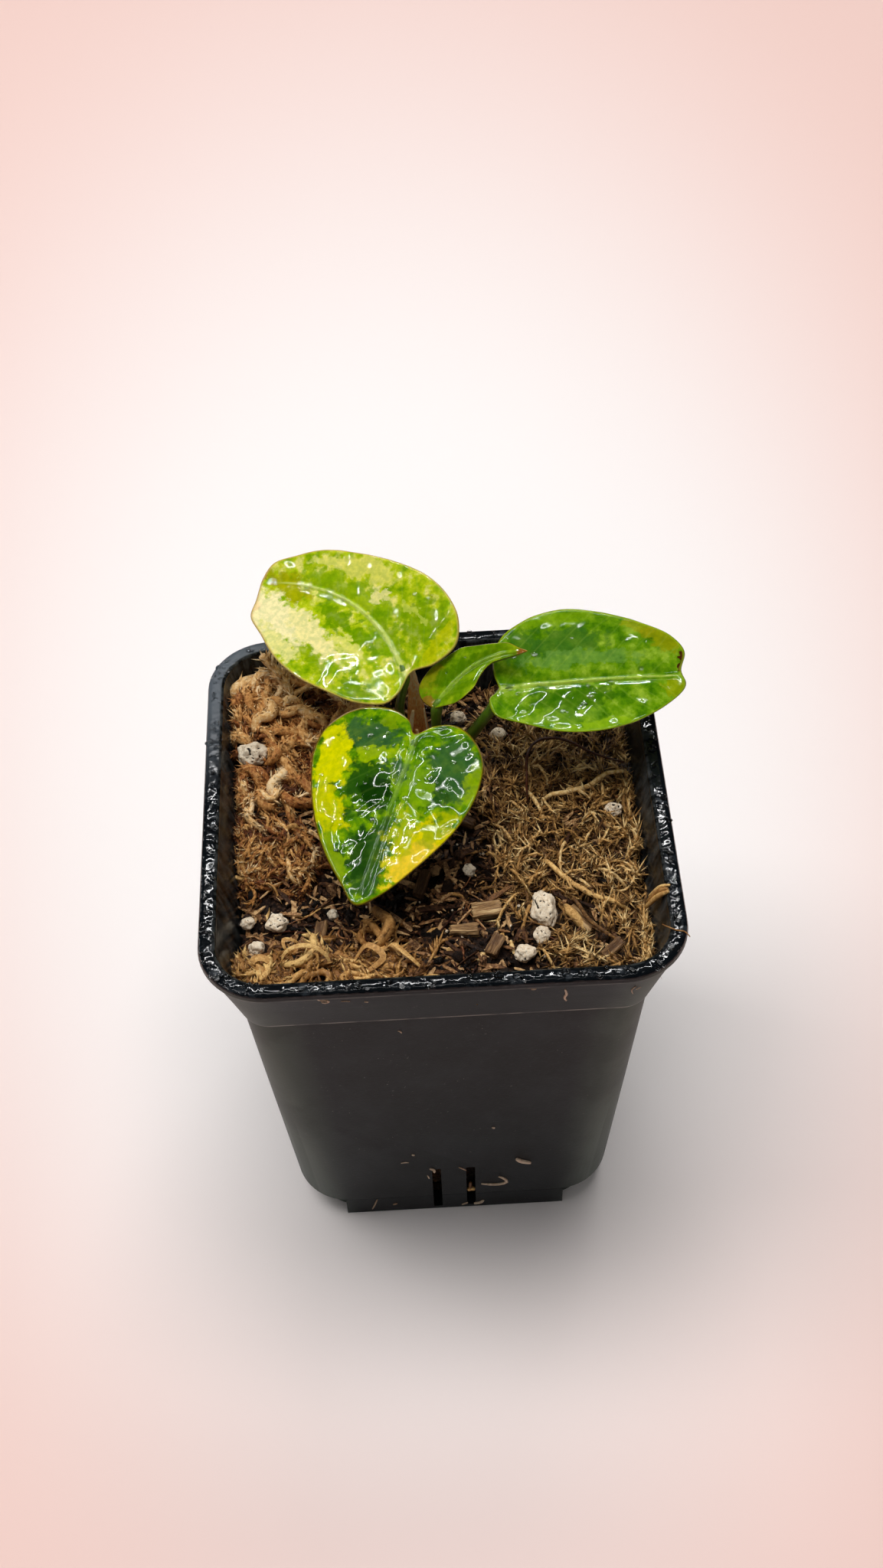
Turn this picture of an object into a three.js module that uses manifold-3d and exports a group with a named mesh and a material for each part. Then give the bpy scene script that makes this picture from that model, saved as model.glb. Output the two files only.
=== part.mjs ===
// A young variegated anthurium in a square nursery pot filled with bark, peat, perlite and moss.
// Millimetres, +Z up. The origin is the centre of the pot's flat underside, and -Y is the front.
import * as THREE from "three";
import { mergeVertices } from "three/addons/utils/BufferGeometryUtils.js";
import Module from "manifold-3d";

const wasm = await Module();
wasm.setup();

// Driving dimensions
const pot = {
  height: 79,
  rimHalf: 35, // half the width across the rim
  rimCorner: 9.8,
  lip: 1.6, // height of the rolled edge
  lipRound: 0.5, // its outer edges are broken over this width
  flange: 2.6, // width of the flat rim seen from above
  innerRound: 0.4, // the rim's inner edge is broken over this width
  collarHalf: 34.1, // half width just under the lip
  collarCorner: 8.2,
  collarFoot: 64.6, // where the tapered collar steps in to the body
  collarFootHalf: 30.3,
  step: 0.3, // height of the steps under the lip and at the collar's foot
  bodyHalf: 30,
  bodyCorner: 4.5,
  footHeight: 4.8,
  footHalf: 26.5,
  footCorner: 9,
  footInset: 1.6, // how far the four bottom corners stand back
  footDraft: 0.4, // how much those corners widen upwards
  footJoin: 0.5, // how far the foot reaches up into the wall
  innerFoot: 5.8, // where the inside narrows to the foot
  innerFootCorner: 8,
  floor: 1.4,
  wall: 1.2,
  slotWidth: 1.5,
  slotHeight: 14.4,
  slotFloor: 0.9,
  slotSpacing: 5.7,
  slotCut: 8, // how deep a slot is cut, past the wall and its foot
};
const gap = 0.3; // clearance between pieces that touch
const pocketGap = 0.45; // clearance round what lies in a pocket of the mix or moss
const ground = 70; // mean level of the potting mix
const pitFloor = 66; // the moss lies in shallow pits of the mix
const mossLift = 0.6; // the moss stands this much above the mix round it
const strandRoom = 8; // its strands stay within this height of the surface
const mixCeiling = pot.height - 0.5; // nothing that lies in the pot reaches higher along its wall
const stem = { x: 0.2, y: 12.8, radius: 3, foot: 60, shoulder: 71.6, top: 73.4 };
const blade = {
  thickness: 0.8,
  foldRound: 2, // the crease along a midrib is rounded over this width
  outlinePoints: 40,
  ringShares: [0.2, 0.45, 0.7, 0.9, 1], // from the middle of the blade out to its edge
};

// The leaves. An edge is given as [along the midrib, across it], from the notch at the stalk
// round the leaf, anticlockwise seen from above.
const leaves = {
  front: {
    at: [-2.4, 6, 86],
    heading: 248.8,
    pitch: -12,
    roll: 0,
    length: 28.3,
    fold: 0,
    droop: 0.05,
    arch: 0.006,
    bow: 0,
    middle: 11,
    edge: [
      [-0.6, -0.4], [-2.7, -2], [-4, -5.2], [-3.6, -9], [-1.9, -12], [1.6, -14.4], [5.6, -14.7],
      [10, -13.5], [14.2, -11.8], [18.7, -9.3], [22.6, -6.3], [25.7, -3.2], [28, -0.9], [28.2, 0.2],
      [25.7, 3], [21.9, 5.7], [17.9, 8], [13.4, 10.2], [8.7, 11.4], [4.6, 11.6], [0.8, 10.8],
      [-2.1, 8.5], [-3.6, 5.3], [-2.6, 2],
    ],
  },
  left: {
    at: [-3.6, 17.5, 87.6],
    heading: 138.7,
    pitch: 6,
    roll: -22,
    length: 30.2,
    fold: 0.15,
    droop: 0.05,
    arch: 0,
    bow: 0,
    middle: 13,
    edge: [
      [-0.6, -0.8], [-2.9, -3.9], [-4.1, -8], [-1.9, -11.7], [2, -13.9], [6.7, -14.8], [11.8, -14.3],
      [18, -12.6], [24, -10], [27.5, -7], [30.3, -3.7], [30.3, -0.8], [28.6, 2.8], [27.2, 5.6],
      [23.3, 7.4], [18.3, 9.4], [13.3, 10], [7.7, 9.3], [2.7, 8], [-0.7, 5.5], [-1.1, 3],
    ],
  },
  right: {
    at: [11.2, 13.4, 88],
    heading: -2.5,
    pitch: 7,
    roll: 18,
    length: 27.7,
    fold: 0.12,
    droop: 0.08,
    arch: 0,
    bow: 0,
    middle: 12,
    edge: [
      [-0.7, -0.3], [-2.2, -1.6], [-1.5, -4.5], [2.8, -6.6], [8.8, -8.6], [14.3, -8.8], [20.1, -7.4],
      [25.4, -4.2], [27.5, -1.6], [27, 0.8], [27.8, 3.8], [26, 6.5], [21.5, 8.9], [15.5, 10.9],
      [9.5, 11.8], [4.6, 10.8], [0.6, 8.5], [-1.1, 5.5], [-1.3, 2.4],
    ],
  },
  young: {
    at: [0.2, 13, 84.5],
    heading: 5.7,
    pitch: 34,
    roll: 10,
    length: 17.8,
    fold: 0.3,
    droop: 0,
    arch: 0,
    bow: 3,
    middle: 7,
    edge: [
      [0.2, 0.1], [2.1, -0.8], [4.2, -1.7], [6.3, -1.6], [8, -1], [9.2, 0.3], [10.8, 1.4],
      [12.8, 1.6], [15.6, 0.9], [17.8, 0.1], [16.7, 1.4], [15.4, 3.1], [13.4, 4.3], [10.3, 5.7],
      [7.8, 6.7], [4.7, 6.5], [2.4, 6.2], [0.1, 5], [-1, 3.9], [-1.1, 2.2],
    ],
  },
};

// The stalks, from the stem to the underside of their leaf.
const petioles = {
  front: { radius: 0.85, path: [[-1, 11.6, 71.8], [-2.2, 10.2, 76], [-3, 8, 81]] },
  left: { radius: 0.8, path: [[-0.9, 14.2, 71.8], [-3.6, 15.2, 76], [-4.7, 16, 81]] },
  right: { radius: 0.95, path: [[1.6, 12.4, 71.8], [4.6, 11.6, 77], [8.6, 11.4, 84]] },
  young: { radius: 0.9, path: [[1, 14.2, 71.8], [1.1, 13.6, 76], [0.9, 13, 80]] },
};

// The moss, as patches of the surface: an outline, its centre, and strands that arch out of it.
const mossPatches = {
  moss_back_left: {
    centre: [-22, 19],
    outline: [[-35, 35], [-17, 35], [-7, 31], [-7.5, 21], [-11, 12], [-17, 7.5], [-24, 4.8], [-35, 4.6]],
    strands: 20, reach: 8.5, thick: 0.62, curl: 1.7, seed: 11,
  },
  moss_left: {
    centre: [-25, -3],
    outline: [[-35, 1], [-23, 1.4], [-17.5, 0], [-17, -6], [-20, -9.5], [-28, -10.5], [-35, -9]],
    strands: 10, reach: 6, thick: 0.45, curl: 1.1, seed: 12,
  },
  moss_front: {
    centre: [-14, -26],
    outline: [
      [-35, -22.5], [-24, -22.5], [-14, -20.5], [-11, -15], [-6.5, -15.5], [-6, -22], [0, -23.5],
      [1, -35], [-35, -35],
    ],
    strands: 14, reach: 6.5, thick: 0.5, curl: 1.5, seed: 13,
  },
  moss_right: {
    centre: [22, -2],
    outline: [
      [8, 24], [20, 27], [35, 26], [35, -28], [24, -33], [15, -27], [11, -18], [8, -8], [7, 5],
    ],
    strands: 24, reach: 8, thick: 0.45, curl: 1.2, seed: 14,
  },
};
const patchShape = {
  outlinePoints: 36,
  ringShares: [1, 0.92, 0.75, 0.55, 0.35, 0.15], // from the edge in to the centre
  crown: 4, // the moss rises to its full height as this power of the way in
};
const strandShape = {
  nearest: 0.15, // share of the way from the patch's centre to its edge
  spread: 0.68,
  bend: 1.6,
  crest: 0.2, // a strand's two high points, as a share of its reach
  sink: 0.9, // its ends go this far into the moss
  sides: 4,
  steps: 5,
};

// The mix's surface: hills and hollows as x, y, width, depth and rise.
const hills = [
  [-26, 21, 10, 13, 4.2],
  [0, 14, 7, 7, 1.2],
  [22, 5, 12, 14, 1],
  [-14, -27, 12, 5, 1.6],
  [-20, -14, 8, 6, -0.8],
];
const mixRingShares = [1, 0.93, 0.82, 0.7, 0.58, 0.46, 0.34, 0.22, 0.1];
const mixShoulder = pot.collarFoot + 3; // the mix's side goes straight up to here
const mixCornerSteps = 3;
const mixSideSteps = 6;

// Perlite grains: x, y, half width, half depth, half height.
const grains = [
  [-28.2, 13.6, 2.4, 2, 1.7],
  [27.2, 0.8, 1.5, 1.2, 1.2],
  [15.2, -16.6, 2, 3, 1.9],
  [14.6, -21.4, 1.2, 1.3, 1.1],
  [11.8, -24, 1.5, 1.5, 1.3],
  [4.6, 22.6, 1.3, 1.2, 1.2],
  [10.8, 18.6, 1.4, 1.1, 1],
  [-28.7, -15.6, 1.1, 1, 0.9],
  [-24.4, -16, 1.6, 1.5, 1.3],
  [-27.4, -20.2, 1.2, 1.1, 1],
  [-16.2, -14.4, 0.9, 0.8, 0.8],
  [4.6, -8.6, 1, 1, 0.9],
];
const grainShape = { smallest: 0.84, variation: 0.26, raised: 0.45, seed: 100 };

// Bark chips: x, y, length, width, thickness, turn in degrees.
const chips = [
  [6.8, -15.6, 4.4, 2.4, 1.5, 5],
  [3.2, -19.6, 4.2, 1.6, 1.3, 4],
  [7.6, -22.6, 3.6, 2, 1.4, 62],
  [20.6, -18.4, 5, 1.8, 1.2, -48],
  [-2.6, -10.4, 4.4, 1.5, 1.2, 70],
  [-18, -17.6, 3.6, 1.7, 1.2, 84],
  [24.6, -24.4, 4, 1.8, 1.2, 40],
  [4, 1.2, 4.2, 1.6, 1.2, -30],
];
const chipShape = { smallest: 0.8, variation: 0.25, tilt: 7, raised: 0.35, seed: 200 };

// Loose roots and straws that lie over the mix: points, radius.
const straws = {
  wiry_root: {
    radius: 0.4,
    path: [
      [13.6, 2.6, 70.4], [14.1, 5, 72.9], [14.4, 9.3, 73.4], [15.8, 13.4, 73.8], [20.5, 13.8, 74],
      [24.9, 11.3, 73.6], [29.6, 9.6, 73.2],
    ],
  },
  straw_strand: {
    radius: 0.6,
    path: [
      [15.8, 4.2, 70.6], [18, 4, 72.6], [20.8, 4.1, 72.9], [24.3, 5.2, 73], [26.8, 7, 72.9],
      [29.3, 7.2, 72.4],
    ],
  },
  orange_straw: {
    radius: 0.5,
    path: [
      [15.2, -6.6, 70.5], [16.4, -8.6, 72.5], [18.6, -12, 72.9], [21.8, -15.2, 72.9],
      [25.6, -16.8, 72.5], [28, -17.4, 71],
    ],
  },
  moss_frond: {
    radius: 1.1,
    path: [[-21.6, 25, 74.2], [-23, 27, 77], [-24.8, 28.6, 79.5], [-26.2, 29.2, 81.5]],
  },
};
const sheath = {
  base: [-1.8, 16.6, 70.6],
  tip: [-2.4, 21, 84.5],
  width: 3.4,
  bulge: 1.1,
  edge: 0.35, // half thickness at its margins
  steps: 6,
  section: [[-0.5, 0.35], [0.5, 0.35], [1, 0], [0, -1], [-1, 0]], // across, and away from the stalks
};

const colours = {
  pot: 0x1f2326, mix: 0x35281e, perlite: 0xe4ddd0, bark: 0x8f714e, root: 0x4b2417, straw: 0xc39a5c,
  stem: 0x6f7a35, stalk: 0x5d7a2c, sheath: 0xa9693a,
  moss_back_left: 0xb07a4c, moss_left: 0x7d5236, moss_front: 0xa9814f, moss_right: 0x9c8058,
  blade_front: 0x2f6a34, blade_left: 0xb4c254, blade_right: 0x4c8a2c, blade_young: 0x8ab23a,
};

// General shapes

function seededRandom(seed) {
  let state = seed;
  return () => {
    state = (state * 1664525 + 1013904223) % 4294967296;
    return state / 4294967296;
  };
}

function radians(degrees) {
  return (degrees * Math.PI) / 180;
}

// Rings of points joined in order, with a fan over each end. Rings run anticlockwise about the way they go.
function loft(rings) {
  const count = rings[0].length;
  const points = rings.flat();
  const triangles = [];
  for (let r = 0; r + 1 < rings.length; r++)
    for (let i = 0; i < count; i++) {
      const a = r * count + i;
      const b = r * count + ((i + 1) % count);
      triangles.push(a, b, b + count, a, b + count, a + count);
    }
  const lastStart = (rings.length - 1) * count;
  for (const [start, flip] of [[0, true], [lastStart, false]]) {
    const centre = new THREE.Vector3();
    for (let i = 0; i < count; i++) centre.addScaledVector(points[start + i], 1 / count);
    points.push(centre);
    for (let i = 0; i < count; i++) {
      const a = start + i;
      const b = start + ((i + 1) % count);
      triangles.push(points.length - 1, flip ? b : a, flip ? a : b);
    }
  }
  const geometry = new THREE.BufferGeometry().setFromPoints(points);
  geometry.setIndex(triangles);
  return geometry;
}

// A geometry's shared vertices merged, with only their places left.
function welded(geometry) {
  const bare = geometry.clone();
  bare.deleteAttribute("normal");
  bare.deleteAttribute("uv");
  return mergeVertices(bare, 1e-4);
}

function solidFrom(geometry) {
  const merged = welded(geometry);
  return new wasm.Manifold(
    new wasm.Mesh({
      numProp: 3,
      vertProperties: new Float32Array(merged.attributes.position.array),
      triVerts: new Uint32Array(merged.index.array),
    }),
  );
}

function largestBody(solid) {
  return solid.decompose().reduce((best, body) => (body.volume() > best.volume() ? body : best));
}

function meshFrom(solid, name, material) {
  const made = solid.getMesh();
  const geometry = new THREE.BufferGeometry();
  geometry.setAttribute("position", new THREE.BufferAttribute(made.vertProperties, 3));
  geometry.setIndex(new THREE.BufferAttribute(made.triVerts, 1));
  geometry.computeVertexNormals();
  const mesh = new THREE.Mesh(geometry, material);
  mesh.name = name;
  return mesh;
}

// A square ring with round corners, with more points along its sides where relief needs them.
function roundedSquare(half, corner, z, cornerSteps = 6, sideSteps = 1) {
  const points = [];
  const upwards = new THREE.Vector3(0, 0, 1);
  for (let quarter = 0; quarter < 4; quarter++) {
    const turn = (quarter * Math.PI) / 2;
    const place = (x, y) => points.push(new THREE.Vector3(x, y, z).applyAxisAngle(upwards, turn));
    for (let i = 0; i <= cornerSteps; i++) {
      const angle = (i / cornerSteps) * (Math.PI / 2);
      place(half - corner + corner * Math.cos(angle), half - corner + corner * Math.sin(angle));
    }
    for (let i = 1; i < sideSteps; i++) place((half - corner) * (1 - (2 * i) / sideSteps), half);
  }
  return points;
}

// A tube along a smooth curve, thinner towards its ends.
function taperedTube(path, radius, { sides, steps, endShare }) {
  const curve = new THREE.CatmullRomCurve3(path.map((p) => new THREE.Vector3(...p)));
  const frames = curve.computeFrenetFrames(steps, false);
  const rings = [];
  for (let s = 0; s <= steps; s++) {
    const at = curve.getPointAt(s / steps);
    const nearEnd = Math.abs((2 * s) / steps - 1) ** 3;
    const size = radius * (1 - (1 - endShare) * nearEnd);
    const ring = [];
    for (let i = 0; i < sides; i++) {
      const angle = (2 * Math.PI * i) / sides;
      ring.push(
        at.clone()
          .addScaledVector(frames.normals[s], size * Math.cos(angle))
          .addScaledVector(frames.binormals[s], size * Math.sin(angle)),
      );
    }
    rings.push(ring);
  }
  return loft(rings);
}

// Pot

// Half width and corner radius of the inner wall at a height.
function innerWall(z) {
  const { wall, flange } = pot;
  const low = { z: pot.floor, half: pot.footHalf - wall, corner: pot.footCorner - wall };
  const step = { z: pot.collarFoot, half: pot.bodyHalf - wall, corner: pot.bodyCorner - wall };
  const top = {
    z: pot.height - pot.innerRound,
    half: pot.rimHalf - flange,
    corner: pot.rimCorner - flange,
  };
  const [from, to] = z < step.z ? [low, step] : [step, top];
  const share = Math.min(Math.max((z - from.z) / (to.z - from.z), 0), 1);
  return {
    half: from.half + (to.half - from.half) * share,
    corner: from.corner + (to.corner - from.corner) * share,
  };
}

function innerRing(z, clearance, cornerSteps, sideSteps) {
  const { half, corner } = innerWall(z);
  return roundedSquare(half - clearance, corner - clearance, z, cornerSteps, sideSteps);
}

// Half width of the inside at the floor, between the set-back corners of the foot.
function footInside() {
  return pot.footHalf - pot.wall - pot.footInset;
}

// The four walls run straight down to the ground between the set-back corners.
function wallFoot(turned) {
  const straight = pot.footHalf - pot.footCorner + 1;
  const ring = (across, z) => {
    const [x, y] = turned ? [across, straight] : [straight, across];
    return [[x, -y], [x, y], [-x, y], [-x, -y]].map(([a, b]) => new THREE.Vector3(a, b, z));
  };
  const top = pot.footHeight + pot.footJoin;
  return solidFrom(loft([ring(pot.footHalf - pot.footJoin, 0), ring(pot.footHalf - 0.02, top)]));
}

function potSolid() {
  const { lipRound, innerRound, step } = pot;
  const lipFoot = pot.height - pot.lip;
  const flangeHalf = pot.rimHalf - pot.flange + innerRound;
  const flangeCorner = pot.rimCorner - pot.flange + innerRound;
  const shell = loft([
    roundedSquare(pot.footHalf, pot.footCorner, pot.footHeight),
    roundedSquare(pot.bodyHalf, pot.bodyCorner, pot.collarFoot),
    roundedSquare(pot.collarFootHalf, pot.bodyCorner, pot.collarFoot + step),
    roundedSquare(pot.collarHalf, pot.collarCorner, lipFoot - step),
    roundedSquare(pot.rimHalf - step, pot.rimCorner - step, lipFoot),
    roundedSquare(pot.rimHalf, pot.rimCorner, lipFoot + lipRound),
    roundedSquare(pot.rimHalf, pot.rimCorner, pot.height - lipRound),
    roundedSquare(pot.rimHalf - lipRound, pot.rimCorner - lipRound, pot.height),
    roundedSquare(flangeHalf, flangeCorner, pot.height),
    innerRing(pot.height - innerRound, 0),
    innerRing(pot.collarFoot, 0),
    innerRing(pot.innerFoot, 0),
  ]);
  const insetHalf = pot.footHalf - pot.footInset;
  const foot = loft([
    roundedSquare(insetHalf - pot.footDraft, pot.footCorner, 0),
    roundedSquare(insetHalf, pot.footCorner, pot.footHeight + pot.footJoin),
  ]);
  const cavity = loft([
    roundedSquare(footInside(), pot.innerFootCorner, pot.floor),
    roundedSquare(footInside() + pot.footDraft, pot.innerFootCorner, pot.innerFoot + 0.1),
  ]);
  let solid = solidFrom(shell).add(solidFrom(foot)).add(wallFoot(true)).add(wallFoot(false));
  solid = solid.subtract(solidFrom(cavity));
  for (let side = 0; side < 4; side++)
    for (const offset of [-pot.slotSpacing / 2, pot.slotSpacing / 2]) {
      const slot = new THREE.BoxGeometry(pot.slotWidth, pot.slotCut, pot.slotHeight);
      slot.translate(offset, -pot.footHalf, pot.slotFloor + pot.slotHeight / 2);
      slot.rotateZ((side * Math.PI) / 2);
      solid = solid.subtract(solidFrom(slot));
    }
  return solid;
}

// Potting mix and moss

// Height of the surface of the mix, with its hills and hollows.
function groundHeight(x, y) {
  let height = ground + 0.35 * Math.sin(0.55 * x + 0.3 * y) + 0.3 * Math.sin(0.47 * y - 0.25 * x + 1);
  for (const [cx, cy, wide, deep, rise] of hills)
    height += rise * Math.exp(-(((x - cx) / wide) ** 2 + ((y - cy) / deep) ** 2) / 2);
  return height;
}

function patchOutline(patch) {
  const corners = patch.outline.map(([x, y]) => new THREE.Vector3(x, y, 0));
  const curve = new THREE.CatmullRomCurve3(corners, true);
  const count = patchShape.outlinePoints;
  const points = Array.from({ length: count }, (_, i) => curve.getPointAt(i / count));
  return THREE.ShapeUtils.isClockWise(points) ? points.reverse() : points;
}

// A block over a patch's outline, from a flat underside to the surface of the mix. It stands lift
// above that surface in the middle and edgeLift above it at its edge, and is grow wider all round.
function patchBlock(patch, underside, { lift, edgeLift, grow }) {
  const [cx, cy] = patch.centre;
  const outline = patchOutline(patch);
  const at = (p, share, z) => {
    const reach = Math.hypot(p.x - cx, p.y - cy);
    const scale = (share * (reach + grow)) / reach;
    const x = cx + (p.x - cx) * scale;
    const y = cy + (p.y - cy) * scale;
    const rise = edgeLift + (lift - edgeLift) * (1 - share ** patchShape.crown);
    return new THREE.Vector3(x, y, z ?? groundHeight(x, y) + rise);
  };
  const rings = [outline.map((p) => at(p, 1, underside))];
  for (const share of patchShape.ringShares) rings.push(outline.map((p) => at(p, share)));
  return solidFrom(loft(rings));
}

// The column over a patch that its strands stay in, or with a gap round it, that the mix leaves free.
function patchColumn(patch, grow) {
  return patchBlock(patch, pitFloor, { lift: strandRoom, edgeLift: strandRoom, grow });
}

// Everything inside the pot's wall, a gap clear of it.
function insideWall(from, to) {
  const step = Math.max(pot.collarFoot, from + 0.1);
  return solidFrom(loft([innerRing(from, gap), innerRing(step, gap), innerRing(to, gap)]));
}

function mixSolid(holes) {
  const square = (half, corner, z) => roundedSquare(half, corner, z, mixCornerSteps, mixSideSteps);
  const side = (z) => innerRing(z, gap, mixCornerSteps, mixSideSteps);
  const footHalf = footInside() - gap;
  const footCorner = pot.innerFootCorner - gap;
  const onGround = (x, y) => new THREE.Vector3(x, y, groundHeight(x, y));
  const rings = [
    square(footHalf, footCorner, pot.floor + gap),
    square(footHalf, footCorner, pot.innerFoot + gap),
    side(pot.innerFoot + 2),
    side(pot.collarFoot),
    side(mixShoulder),
  ];
  for (const share of mixRingShares)
    rings.push(side(ground).map((p) => onGround(p.x * share, p.y * share)));
  let solid = solidFrom(loft(rings)).intersect(insideWall(pot.floor + gap / 2, mixCeiling));
  for (const patch of Object.values(mossPatches)) solid = solid.subtract(patchColumn(patch, pocketGap));
  for (const hole of holes) solid = solid.subtract(hole);
  return largestBody(solid);
}

// Strands of moss: each leaves the patch, arches over it and goes in again.
function mossStrands(patch) {
  const { nearest, spread, bend, crest, sink, sides, steps } = strandShape;
  const random = seededRandom(patch.seed);
  const [cx, cy] = patch.centre;
  const outline = patchOutline(patch);
  const strands = [];
  for (let n = 0; n < patch.strands; n++) {
    const towards = outline[Math.floor(random() * outline.length)];
    const share = nearest + spread * Math.sqrt(random());
    const x = cx + (towards.x - cx) * share;
    const y = cy + (towards.y - cy) * share;
    const turn = random() * 2 * Math.PI;
    const curve = (random() - 0.5) * bend;
    const reach = patch.reach * (0.6 + 0.6 * random());
    const rise = patch.curl * (0.5 + 0.9 * random());
    const path = [[-0.5, -sink], [-crest, rise], [crest, rise], [0.5, -sink]].map(([t, lift]) => {
      const angle = turn + curve * t;
      const px = x + reach * t * Math.cos(angle);
      const py = y + reach * t * Math.sin(angle);
      return [px, py, groundHeight(px, py) + lift];
    });
    const radius = patch.thick * (0.8 + 0.5 * random());
    strands.push(solidFrom(taperedTube(path, radius, { sides, steps, endShare: 0.6 })));
  }
  return strands;
}

function mossSolid(patch, holes) {
  let solid = patchBlock(patch, pitFloor + gap, { lift: mossLift, edgeLift: 0, grow: 0 });
  for (const strand of mossStrands(patch)) solid = solid.add(strand);
  solid = solid.intersect(patchColumn(patch, 0));
  solid = solid.intersect(insideWall(pitFloor, mixCeiling));
  for (const hole of holes) solid = solid.subtract(hole);
  return largestBody(solid);
}

// Grains, chips and straws, each with the slightly larger hole that it lies in

function grainPair([x, y, rx, ry, rz], index) {
  const random = seededRandom(grainShape.seed + index);
  const lump = welded(new THREE.IcosahedronGeometry(1, 1));
  const at = lump.attributes.position;
  for (let i = 0; i < at.count; i++) {
    const size = grainShape.smallest + grainShape.variation * random();
    at.setXYZ(i, at.getX(i) * size, at.getY(i) * size, at.getZ(i) * size);
  }
  const z = groundHeight(x, y) + rz * grainShape.raised + mossLift;
  const placed = (grow) =>
    solidFrom(lump.clone().scale(rx + grow, ry + grow, rz + grow).translate(x, y, z));
  return { solid: placed(0), hole: placed(pocketGap) };
}

function chipPair([x, y, length, width, thickness, turn], index) {
  const random = seededRandom(chipShape.seed + index);
  const skew = Array.from({ length: 8 }, () => chipShape.smallest + chipShape.variation * random());
  const tilt = radians(2 * chipShape.tilt * (random() - 0.5));
  const z = groundHeight(x, y) + thickness * chipShape.raised + mossLift / 2;
  const placed = (grow) => {
    const chip = welded(new THREE.BoxGeometry(1, 1, 1));
    const at = chip.attributes.position;
    for (let i = 0; i < at.count; i++) at.setXY(i, at.getX(i) * skew[i], at.getY(i) * skew[7 - i]);
    chip.scale(length + 2 * grow, width + 2 * grow, thickness + 2 * grow);
    chip.rotateY(tilt).rotateZ(radians(turn)).translate(x, y, z);
    return solidFrom(chip);
  };
  return { solid: placed(0), hole: placed(pocketGap) };
}

function strawPair({ radius, path }) {
  const make = (size) => solidFrom(taperedTube(path, size, { sides: 6, steps: 14, endShare: 0.7 }));
  return { solid: make(radius), hole: make(radius + pocketGap) };
}

// Plant

function leafFrame(leaf) {
  const [heading, pitch, roll] = [leaf.heading, leaf.pitch, leaf.roll].map(radians);
  const level = new THREE.Vector3(-Math.sin(heading), Math.cos(heading), 0);
  const along = new THREE.Vector3(Math.cos(heading), Math.sin(heading), 0)
    .multiplyScalar(Math.cos(pitch))
    .setZ(Math.sin(pitch));
  const square = along.clone().cross(level);
  const across = level.multiplyScalar(Math.cos(roll)).addScaledVector(square, Math.sin(roll));
  return { origin: new THREE.Vector3(...leaf.at), along, across, up: along.clone().cross(across) };
}

// How far the blade's upper face stands from its own plane: creased along the midrib, drooping to the tip.
function bladeHeight(leaf, u, v) {
  const share = Math.max(u / leaf.length, 0);
  const midrib = leaf.bow * 4 * share * (1 - share);
  const crease = leaf.fold * (Math.hypot(v - midrib, blade.foldRound) - blade.foldRound);
  return crease - leaf.droop * leaf.length * share * share - leaf.arch * v * v;
}

function bladePoint(leaf, frame, u, v, offset) {
  return frame.origin
    .clone()
    .addScaledVector(frame.along, u)
    .addScaledVector(frame.across, v)
    .addScaledVector(frame.up, bladeHeight(leaf, u, v) + offset);
}

function bladeSolid(leaf) {
  const frame = leafFrame(leaf);
  const edge = new THREE.CatmullRomCurve3(leaf.edge.map(([u, v]) => new THREE.Vector3(u, v, 0)), true);
  const middle = new THREE.Vector3(leaf.middle, leaf.bow, 0);
  const count = blade.outlinePoints;
  const outline = Array.from({ length: count }, (_, i) => edge.getPointAt(i / count));
  const ring = (share, offset) =>
    outline.map((p) => {
      const at = middle.clone().lerp(p, share);
      return bladePoint(leaf, frame, at.x, at.y, offset);
    });
  return solidFrom(
    loft([
      ...blade.ringShares.map((share) => ring(share, -blade.thickness)),
      ...blade.ringShares.toReversed().map((share) => ring(share, 0)),
    ]),
  );
}

// A stalk ends just under its blade, a gap below the notch. Its hole starts below its foot.
function petiolePair({ radius, path }, leaf) {
  const clearance = blade.thickness + gap + radius * 0.55;
  const seat = bladePoint(leaf, leafFrame(leaf), 0.9, leaf.bow * 0.4, -clearance);
  const points = [...path, seat.toArray()];
  const [footX, footY, footZ] = path[0];
  const holePoints = [[footX, footY, footZ - 1], ...points];
  return {
    solid: solidFrom(taperedTube(points, radius, { sides: 8, steps: 10, endShare: 0.85 })),
    hole: solidFrom(taperedTube(holePoints, radius + gap + 0.1, { sides: 6, steps: 8, endShare: 1 })),
  };
}

function stemSolid(holes) {
  const profile = [
    [0, stem.foot], [stem.radius * 0.55, stem.foot + 1.5], [stem.radius * 0.9, stem.foot + 6],
    [stem.radius, stem.shoulder], [stem.radius * 0.8, stem.top - 0.4], [stem.radius * 0.4, stem.top],
    [0, stem.top],
  ].map(([r, z]) => new THREE.Vector2(r, z));
  const turned = new THREE.LatheGeometry(profile, 16);
  turned.rotateX(Math.PI / 2).translate(stem.x, stem.y, 0);
  let solid = solidFrom(turned);
  for (const hole of holes) solid = solid.subtract(hole);
  return largestBody(solid);
}

// The well in the mix that the stem stands in, open at the top.
function stemHole() {
  const depth = 20;
  const hole = new THREE.CylinderGeometry(stem.radius + gap, stem.radius + gap, depth, 20);
  hole.rotateX(Math.PI / 2).translate(stem.x, stem.y, stem.foot - gap + depth / 2);
  return solidFrom(hole);
}

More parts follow.
